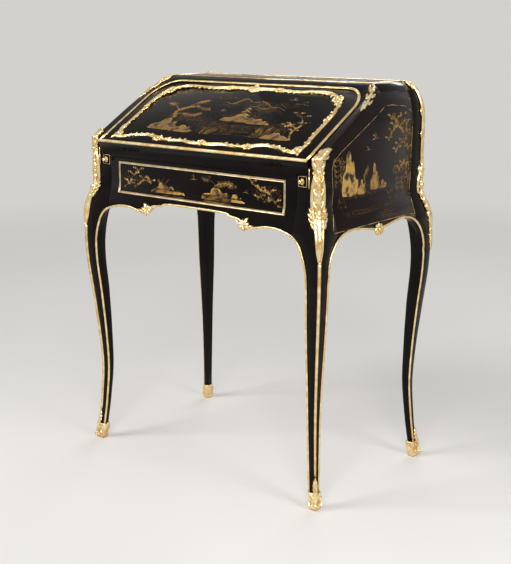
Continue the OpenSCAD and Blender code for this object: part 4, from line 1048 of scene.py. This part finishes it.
# Nest of drawers behind the fall: tulipwood fronts on oak boxes, each with a turned bronze knob
# that is riveted through the middle of its front.
nest_y, nest_z = -25, 718.5
turned_knob = [(4.5, 0.05), (4.5, 0.7), (3.6, 1.3), (2.4, 2), (2.1, 3.2), (2.4, 4.6), (3.8, 5.4)]
turned_knob += [(5, 6.4), (5.6, 7.6), (5.5, 9), (4.6, 10.2), (2.6, 10.9), (0.8, 11.1)]
for side, x in (("left", -199), ("middle", 0), ("right", 199)):
    finished(f"{side}_nest_drawer", tulipwood, 0.5)

    def nest_face(across, along, out):
        return Vector((x + across, nest_y - out, nest_z + along))

    made = turned_on(nest_face, turned_knob, 28)
    fitted(f"{side}_knob", made, f"{side}_drawer", [f"{side}_nest_knob"])


# Writing surface: goatskin let into the inner face of the fall, stained oxblood and polished by
# hands, so it is mottled in clouds of 36 mm, over a grain with pebbles of 1.1 mm. Its edge is
# tooled in gold with a hot wheel and a small stamp.
goatskin, tree, shader, place = new_material(
    "oxblood_goatskin", Roughness=0.46, Specular_IOR_Level=0.45
)
pebbles = add_node(tree, "TexVoronoi", {"Scale": 900}, {"Vector": place}, feature="F1")
mottle = add_node(tree, "TexNoise", {"Scale": 28, "Detail": 5}, {"Vector": place})
colour = clouded(tree, mottle, 0, 1, "#3a0f0c", "#6b2418")
depth = {"Strength": 0.5, "Distance": 0.0002}
grain = add_node(tree, "Bump", depth, {"Height": pebbles})
feed(tree, shader, {"Base Color": colour, "Normal": grain})


def writing_face(across, along, out):
    return fall_foot + rightward * across + slope_up * along - slope_out * out


def inset_ring(inset):
    x, low, high = 240 - inset, 38 + inset, 206.2 - inset
    return [(-x, low), (x, low), (x, high), (-x, high)]


skin_wide, skin_high, skin_low, skin_rows, skin_row = 479.4, 167.6, 38.3, 49, 19
skin = []
for level in (-0.03, -0.78):
    for i in range(skin_rows):
        for j in range(skin_row):
            x, u = skin_wide * (i / (skin_rows - 1) - 0.5), skin_high * j / (skin_row - 1)
            skin.append(writing_face(x, skin_low + u, level) * mm)
layer = skin_rows * skin_row
skin_faces = quads(skin_rows, skin_row, ring=False)
skin_faces += [tuple(layer + k for k in (a, d, c, b)) for a, b, c, d in skin_faces]
rim = rim_of(skin_rows, skin_row)
skin_faces += [(a, b, layer + b, layer + a) for a, b in zip(rim, rim[1:] + rim[:1])]
leather = ("writing_leather", (skin, skin_faces), "fall", ["fall_leather"], "leather", goatskin)
skin = fitted(*leather)
pyramid = [(0, 1, 4), (1, 2, 4), (2, 3, 4), (3, 0, 4), (3, 2, 1, 0)]
stamp = [(-1.6, 0, 0), (0, -1.2, 0), (1.6, 0, 0), (0, 1.2, 0), (0, 0, 0.16)]
stamp = new_piece("tool_stamp", [Vector(v) * mm for v in stamp], pyramid, gilt_bronze)
tooling = []
sizes = {"Pattern": stamp, "Smallest": 0.8, "Largest": 0.85, "Spread": 0.0}
for inset, gap in ((12, 0.0048), (18, 0.0036)):
    ring = inset_ring(inset)
    tooling.append(grown(twigs, writing_face, ring + ring[:1], Spacing=gap, **sizes))
bpy.data.objects.remove(stamp)
for inset in (9, 15, 21):
    line = [writing_face(x, u, 0) for x, u in inset_ring(inset)]
    tooling.append(strip(line, -slope_out, [(-0.4, -0.05), (0, 0.12), (0.4, -0.05)], closed=True))
gold_tooling = fitted("gold_tooling", joined(tooling), "fall", [])


# Lacquer pictures: gold powder dusted on wet lacquer in low relief, rubbed back and now worn brown,
# so it gleams only where it is thick, in grains of 1.5 mm and rubbed patches of 17 mm. They hold
# rocks, hills, boughs, blossom, bamboo, cranes and ripples, all of no real place.
gold_lacquer, tree, shader, place = new_material("worn_gold_dust_lacquer", Specular_IOR_Level=0.35)
tone = add_node(tree, "Attribute", attribute_name="tone").outputs["Fac"]
powder = add_node(tree, "TexNoise", {"Scale": 650, "Detail": 5}, {"Vector": place})
rubbed = add_node(tree, "TexNoise", {"Scale": 60, "Detail": 6}, {"Vector": place})
shade = add_node(tree, "Math", {1: 0.5}, {0: powder}, operation="MULTIPLY")
thick = {"Fac": add_node(tree, "Math", None, {0: tone, 1: shade})}
ramp = add_node(tree, "ValToRGB", None, thick)
stops = ramp.color_ramp.elements
stops[0].position, stops[1].position = 0.12, 1
for share in (0.4, 0.72):
    stops.new(share)
for stop, colour in zip(stops, ("#20130a", "#5e4222", "#a47a3a", "#e2b866")):
    stop.color = linear(colour)
limits = {"From Min": 0.38, "From Max": 0.54}
worn = add_node(tree, "MapRange", limits, {"Value": rubbed})
layers = {"Factor": worn, "B": ramp}
colour = add_node(tree, "Mix", {"A": linear("#1a0f0a")}, layers, data_type="RGBA")
metal = add_node(tree, "Math", {1: 0.6}, {0: worn}, operation="MULTIPLY")
grain = add_node(tree, "Bump", {"Distance": 0.00015}, {"Height": powder})
feed(tree, shader, {"Base Color": colour, "Metallic": metal, "Normal": grain})
shader.inputs["Roughness"].default_value = 0.42
chance = random.Random(7)


# A part of a picture is verts, faces and a tone, from thin brown to full gold.
def painted(name, parts, body):
    tones = [tone for verts, faces, tone in parts for v in verts]
    bare = joined([part[:2] for part in parts])
    made = fitted(name, bare, body, [], material=gold_lacquer, merge=False)
    made.data.attributes.new("tone", "FLOAT", "POINT").data.foreach_set("value", tones)


def stroke(chart, path, half, tone, ends=(0.4, 0.1), lift=0.32):
    return *stem(chart, path, half, lift, ends, 2), tone


def wash(chart, outline, tone):
    edge = smooth_line([outline[-1]] + outline + outline[:2], 4)[4:-4]
    middle, lift = sum(edge, Vector((0, 0))) / len(edge), 0.26
    verts = [chart(middle[0], middle[1], lift) * mm]
    for share in (0.35, 0.7, 0.96, 1):
        ring = [middle.lerp(p, share) for p in edge]
        verts += [chart(p[0], p[1], lift if share < 1 else -0.12) * mm for p in ring]
    return verts, domed(4, len(edge)), tone


def rock(chart, x, z, wide, high, tone):
    def at(a, b, right=0, up=0):
        return x + wide / 2 * a + right, z + high * b + up

    crag = [(-1, 0), (-0.85, 0.42), (-0.5, 0.55), (-0.34, 0.95), (0.02, 1), (0.2, 0.68)]
    crag += [(0.52, 0.74), (0.7, 0.4), (1, 0.26), (0.94, 0), (0.3, -0.08), (-0.4, -0.06)]
    edge = [at(a * chance.uniform(0.9, 1.1), b * chance.uniform(0.9, 1.08)) for a, b in crag]
    made = [wash(chart, edge, tone)]
    for k in range(5):
        a = chance.uniform(-0.7, 0.7)
        top = 0.85 - 0.5 * abs(a)
        crack = [at(a, top), at(a * 0.9 - 0.06, top * 0.6), at(a * 0.95 + 0.05, 0.12)]
        made.append(stroke(chart, crack, wide * 0.018, tone - 0.35, lift=0.36))
    made.append(stroke(chart, edge[:7], max(0.5, wide * 0.012), tone + 0.3, (0.5, 0.3), 0.4))
    for k in range(9):
        a, b = chance.uniform(-0.8, 0.8), chance.uniform(0.15, 0.6)
        moss = [at(a, b), at(a, b, 1.6, 0.8), at(a, b, 3.4)]
        made.append(stroke(chart, moss, 0.8, tone + 0.35, (0.6, 0.6), 0.38))
    return made


def ripples(chart, x, z, wide, rows, gap):
    made = []
    for k in range(rows):
        a = x + chance.uniform(-0.2, 0.2) * wide
        w = wide * chance.uniform(0.3, 0.62)
        path = [(a - w + w * i / 3, z - gap * k + 0.5 * math.sin(2.1 * i + k)) for i in range(7)]
        made.append(stroke(chart, path, 0.4, 0.35 * chance.uniform(0.7, 1.1), (0.1, 0.1), 0.2))
    return made


def crane(chart, x, z, size, ways):
    made = []
    for path, half, tone, ends in (
        ([(-0.5, -0.02), (-0.2, 0.05), (0.1, 0.06), (0.3, 0)], 0.09, 0.7, (0.3, 0.4)),
        ([(0.25, 0.02), (0.5, 0.1), (0.75, 0.08), (0.98, 0.02)], 0.03, 0.6, (0.4, 0.1)),
        ([(0.05, 0.08), (-0.12, 0.32), (-0.34, 0.5), (-0.66, 0.58)], 0.075, 0.65, (0.4, 0.1)),
        ([(0.12, 0.06), (0.16, 0.32), (0.08, 0.58), (-0.08, 0.84)], 0.07, 0.6, (0.4, 0.1)),
        ([(-0.45, -0.03), (-0.7, -0.08), (-1, -0.06)], 0.025, 0.45, (0.4, 0.1)),
    ):
        path = [(x + ways * size * a, z + size * b) for a, b in path]
        made.append(stroke(chart, path, size * half, tone, ends))
    return made


def hills(chart, outline, tone):
    made = [stroke(chart, outline, 0.9, tone + 0.2, (0.2, 0.2))]
    for k in range(1, 5):
        lower = [(x + 1.5 * k, z - 2.4 * k - 0.02 * k * abs(x - outline[0][0])) for x, z in outline]
        lower = lower[k:-k] if len(lower) > 2 * k + 2 else lower
        made.append(stroke(chart, lower, 0.5, tone - 0.05 * k, lift=0.2))
    return made


def pavilion(chart, x, floor_z, roofs):
    made = [stroke(chart, [(x - 24, floor_z), (x + 24, floor_z)], 1.1, 0.6, (0.6, 0.6))]
    for w, z in roofs:
        roof = [(-1, -1.5), (-0.5, 1.5), (0, 5), (0.5, 1.5), (1, -1.5)]
        roof = [(x + w * a, z + b) for a, b in roof]
        made.append(stroke(chart, roof, 1.5, 0.72, (0.4, 0.4)))
        for post in (-0.55, -0.18, 0.18, 0.55):
            at = x + w * post
            made.append(stroke(chart, [(at, z - 8), (at, z)], 0.7, 0.6, (1, 1)))
    return made


# Patterns that grow along painted boughs: a fan of needles or blades, and a plum flower.
def grown_on(chart, path, pattern, tone, *sizes):
    sizes = dict(zip(("Spacing", "Smallest", "Largest", "Spread"), sizes))
    return *grown(twigs, chart, smooth_line(path, 6), 0.12, Pattern=pattern, **sizes), tone


def flat_stem(path, half, lift, ends):
    return stem(lambda x, y, z: Vector((x, y, z)), path, half, lift, ends, 2)


def fan(count, spread, length, half, name):
    parts = []
    for k in range(count):
        t = spread * (2 * k / (count - 1) - 1)
        x, y = length * math.cos(t), length * math.sin(t)
        parts.append(flat_stem([(0, 0), (x / 2, y * 0.45), (x, y)], half, 0.4, (0.5, 0.1)))
    return new_piece(name, *joined(parts), gold_lacquer)


tuft = fan(7, 1.2, 9, 0.75, "pine_tuft")
blades = fan(3, 0.55, 12, 1.25, "bamboo_blades")
petals = [[(0, 0), (1.7 * c, 1.7 * s), (3.4 * c, 3.4 * s)] for c, s in turns_of(5)]
petals = joined([flat_stem(path, 1.5, 0.42, (0.5, 0.55)) for path in petals])
flower = new_piece("plum_flower", *petals, gold_lacquer)

# Gold powder is sprinkled from a tube: thickest in the middle of each cloud.
dusting, given = new_growth("sprinkled_gold", "Ground", Density=2.0e5, Smallest=0.5, Largest=1.2)
ground = {"Mesh": given["Ground"], "Density": given["Density"]}
points = add_node(dusting, "GeometryNodeDistributePointsOnFaces", {"Seed": 11}, ground)
turn = {"Z": add_node(dusting, "FunctionNodeRandomValue", {"Max": 6.28, "Seed": 3})}
turn = add_node(dusting, "CombineXYZ", None, turn)
patterns_on(dusting, given, points, turn, 5, gold_lacquer)
flake = [(-0.55, -0.4, 0), (0.5, -0.5, 0), (0.6, 0.4, 0), (-0.4, 0.55, 0), (0, 0, 0.3)]
flake = new_piece("gold_flake", [Vector(v) * mm for v in flake], pyramid, gold_lacquer)


def dust(chart, x, z, wide, high, tone):
    ground = []
    for a, b in [(share * wide / 2, share * high / 2) for share in (1, 0.72, 0.45)]:
        ground += [(x + a * c, z + b * s) for c, s in turns_of(24)]
    rings = [tuple(range(k, k + 24)) for k in (0, 24, 48)]
    cloud = grown(dusting, chart, ground, 0.04, rings, Pattern=flake, Density=1.2e5)
    return [(*cloud, tone)]


def pine(chart, paths, half, tone):
    made = []
    for path in paths:
        made.append(stroke(chart, path, half, tone - 0.1, (1, 0.3)))
        made.append(grown_on(chart, path[1:], tuft, tone, 0.0042, 0.7, 1.15, 0.9))
    return made


def bamboo(chart, x, z, high, lean, tone):
    stalk = [(x + lean * (k / 6) ** 2, z + high * k / 6) for k in range(7)]
    made = [stroke(chart, stalk, 0.9, tone, (1, 0.6))]
    for a, b in stalk[2:]:
        for way in (-1, 1):
            twig = [(a, b), (a + way * 6, b + 3), (a + way * 12, b + 1.5), (a + way * 17, b - 3)]
            made.append(grown_on(chart, twig, blades, tone, 0.0055, 0.6, 1, 0.6))
    return made


def blossom(chart, path, half, tone):
    made = [stroke(chart, path, half, tone - 0.2, (1, 0.3))]
    made.append(grown_on(chart, path, flower, tone + 0.1, 0.0055, 0.6, 1.2, 0.3))
    for a, b in path[1:]:
        for way in (-1, 1):
            reach = chance.uniform(9, 17)
            far = a + way * reach
            twig = [(a, b), (a + way * reach * 0.4, b + reach * 0.5), (far, b + reach * 0.6)]
            made.append(stroke(chart, twig, half * 0.45, tone - 0.1, (0.9, 0.2)))
            made.append(grown_on(chart, twig, flower, tone + 0.15, 0.005, 0.55, 1, 0.3))
    return made


def reeds(chart, x, z, high, count, tone):
    made = []
    for k in range(count):
        a = x + chance.uniform(-1, 1) * count * 1.2
        bend = chance.uniform(-0.5, 0.5) * high
        h = high * chance.uniform(0.6, 1)
        reed = [(a, z), (a + bend * 0.2, z + h * 0.5), (a + bend, z + h)]
        made.append(stroke(chart, reed, 0.45, tone * chance.uniform(0.7, 1.2), (1, 0.05)))
    return made


def composed(chart, rows):
    return [part for maker, *sizes in rows for part in maker(chart, *sizes)]


# Fall: a lake shore, with a pine on the left bank, low hills and a pavilion across the water.
far_hills = [(-70, 166), (-44, 180), (-24, 174), (4, 196), (30, 184), (58, 188), (92, 170)]
far_hills.append((120, 166))
old_pine = [
    [(-168, 88), (-150, 112), (-158, 134), (-132, 152), (-112, 158)],
    [(-152, 124), (-128, 128), (-104, 122), (-84, 130)],
    [(-156, 140), (-178, 156), (-196, 160)],
    [(-140, 148), (-120, 172), (-96, 180)],
    [(-128, 154), (-96, 154), (-70, 148)],
]
painted("fall_picture", composed(fall_face, [
    (rock, -150, 66, 92, 40, 0.34),
    (rock, -92, 62, 62, 24, 0.4),
    (pine, old_pine, 2, 0.5),
    (hills, far_hills, 0.42),
    (hills, [(20, 160), (46, 170), (70, 162), (104, 172), (138, 156)], 0.36),
    (rock, 40, 112, 116, 24, 0.36),
    (rock, 92, 108, 62, 17, 0.42),
    (pavilion, 36, 128.5, [(20, 136), (15, 147), (9, 157)]),
    (reeds, 128, 62, 46, 22, 0.55),
    (reeds, -20, 60, 26, 14, 0.5),
    (rock, 168, 62, 78, 20, 0.38),
    (blossom, [(206, 66), (196, 92), (204, 116), (190, 140), (172, 150)], 1.8, 0.6),
    (blossom, [(198, 104), (180, 112), (168, 108)], 1.2, 0.6),
    (crane, 160, 186, 18, -1),
    (crane, 130, 200, 13, -1),
    (crane, -30, 146, 12, 1),
    (ripples, 20, 98, 190, 9, 4.2),
    (ripples, -30, 106, 110, 5, 3.2),
    (dust, -110, 112, 150, 34, 0.25),
    (dust, 20, 84, 210, 26, 0.2),
    (dust, 70, 178, 170, 26, 0.3),
    (dust, 150, 96, 90, 40, 0.28),
    (dust, -60, 196, 120, 18, 0.22),
    (dust, 40, 132, 120, 36, 0.3),
]), "fall")  # fmt: skip

# Sides: a rock with bamboo and an old plum, over water, inside one thin painted line. The line is
# drawn in runs, which meet at its sharp corners and bend through the others.
outline = [(-155, 571), (-144, 606), (-140, 650), (-144, 693), (-140, 708), (-116, 725), (43, 806)]
outline += [(66, 807), (116, 802), (136, 792), (145, 775), (142, 707), (139, 631), (140, 600)]
outline += [(143, 572), (110, 574), (-4, 573), (-93, 572), (-155, 571)]
side_line = []
for first, last in ((0, 4), (3, 6), (5, 7), (6, 11), (10, 15), (14, 19)):
    run = [Vector(p) for p in outline[first:last]]
    path = [a.lerp(b, k / 4) for a, b in zip(run, run[1:]) for k in range(4)]
    side_line.append(stroke(side_face, path + [run[-1]], 0.95, 0.62, (1, 1), 0.28))
right_side = composed(side_face, [
    (rock, -84, 640, 56, 84, 0.62),
    (rock, -40, 636, 30, 26, 0.56),
    (rock, 6, 642, 32, 50, 0.5),
    (rock, 36, 640, 24, 16, 0.42),
    (blossom, [(130, 640), (122, 676), (128, 712), (116, 742), (94, 760), (72, 762)], 2.2, 0.44),
    (blossom, [(124, 722), (106, 728), (92, 722), (82, 710)], 1.4, 0.42),
    (blossom, [(118, 742), (120, 764), (108, 782)], 1.4, 0.42),
    (blossom, [(98, 758), (82, 774), (62, 780)], 1.4, 0.42),
    (blossom, [(124, 690), (108, 682), (96, 670)], 1.4, 0.42),
    (blossom, [(82, 762), (64, 750), (54, 736)], 1.4, 0.42),
    (bamboo, -112, 646, 62, -8, 0.4),
    (bamboo, 110, 608, 66, -16, 0.3),
    (pine, [[(-26, 650), (-34, 668), (-24, 684)]], 1.6, 0.42),
    (crane, 4, 742, 17, 1),
    (crane, -20, 722, 12, 1),
    (ripples, -20, 614, 96, 6, 3.4),
    (ripples, 40, 594, 80, 5, 3.4),
    (reeds, 70, 612, 30, 14, 0.34),
    (reeds, -110, 612, 26, 12, 0.34),
    (dust, -50, 634, 130, 16, 0.3),
    (dust, 60, 606, 130, 24, 0.2),
    (dust, -70, 604, 90, 24, 0.16),
    (dust, 106, 768, 70, 40, 0.24),
    (dust, 120, 668, 40, 40, 0.2),
])  # fmt: skip
right_side += side_line
painted("right_side_picture", right_side, "root")
painted("left_side_picture", [(*mirrored(part), part[2]) for part in right_side], "root")

# Frieze: plum boughs at the ends, rocks and reeds between, on the plain black of the drawer.
small_pine = [[(40, 632), (56, 646), (82, 650), (104, 644)], [(54, 642), (34, 654), (16, 654)]]
painted("frieze_picture", composed(front_face, [
    (blossom, [(-228, 612), (-206, 624), (-184, 620), (-160, 636), (-138, 632)], 1.8, 0.6),
    (blossom, [(-206, 624), (-192, 642), (-176, 652)], 1.2, 0.6),
    (rock, -96, 610, 84, 24, 0.5),
    (rock, -52, 609, 44, 14, 0.6),
    (reeds, -108, 622, 30, 12, 0.5),
    (ripples, 0, 618, 100, 4, 3),
    (rock, 58, 609, 96, 30, 0.46),
    (rock, 108, 610, 50, 18, 0.58),
    (pine, small_pine, 1.6, 0.55),
    (blossom, [(230, 616), (210, 622), (196, 640), (172, 646), (150, 658)], 1.8, 0.6),
    (blossom, [(204, 630), (182, 622), (166, 626)], 1.2, 0.6),
    (crane, -12, 650, 14, 1),
    (crane, 134, 636, 10, -1),
    (dust, -190, 632, 90, 34, 0.25),
    (dust, -76, 616, 110, 20, 0.25),
    (dust, 76, 618, 130, 24, 0.25),
    (dust, 192, 640, 90, 34, 0.25),
]), "frieze_drawer")  # fmt: skip
for pattern in (tuft, blades, flower, flake):
    bpy.data.objects.remove(pattern)
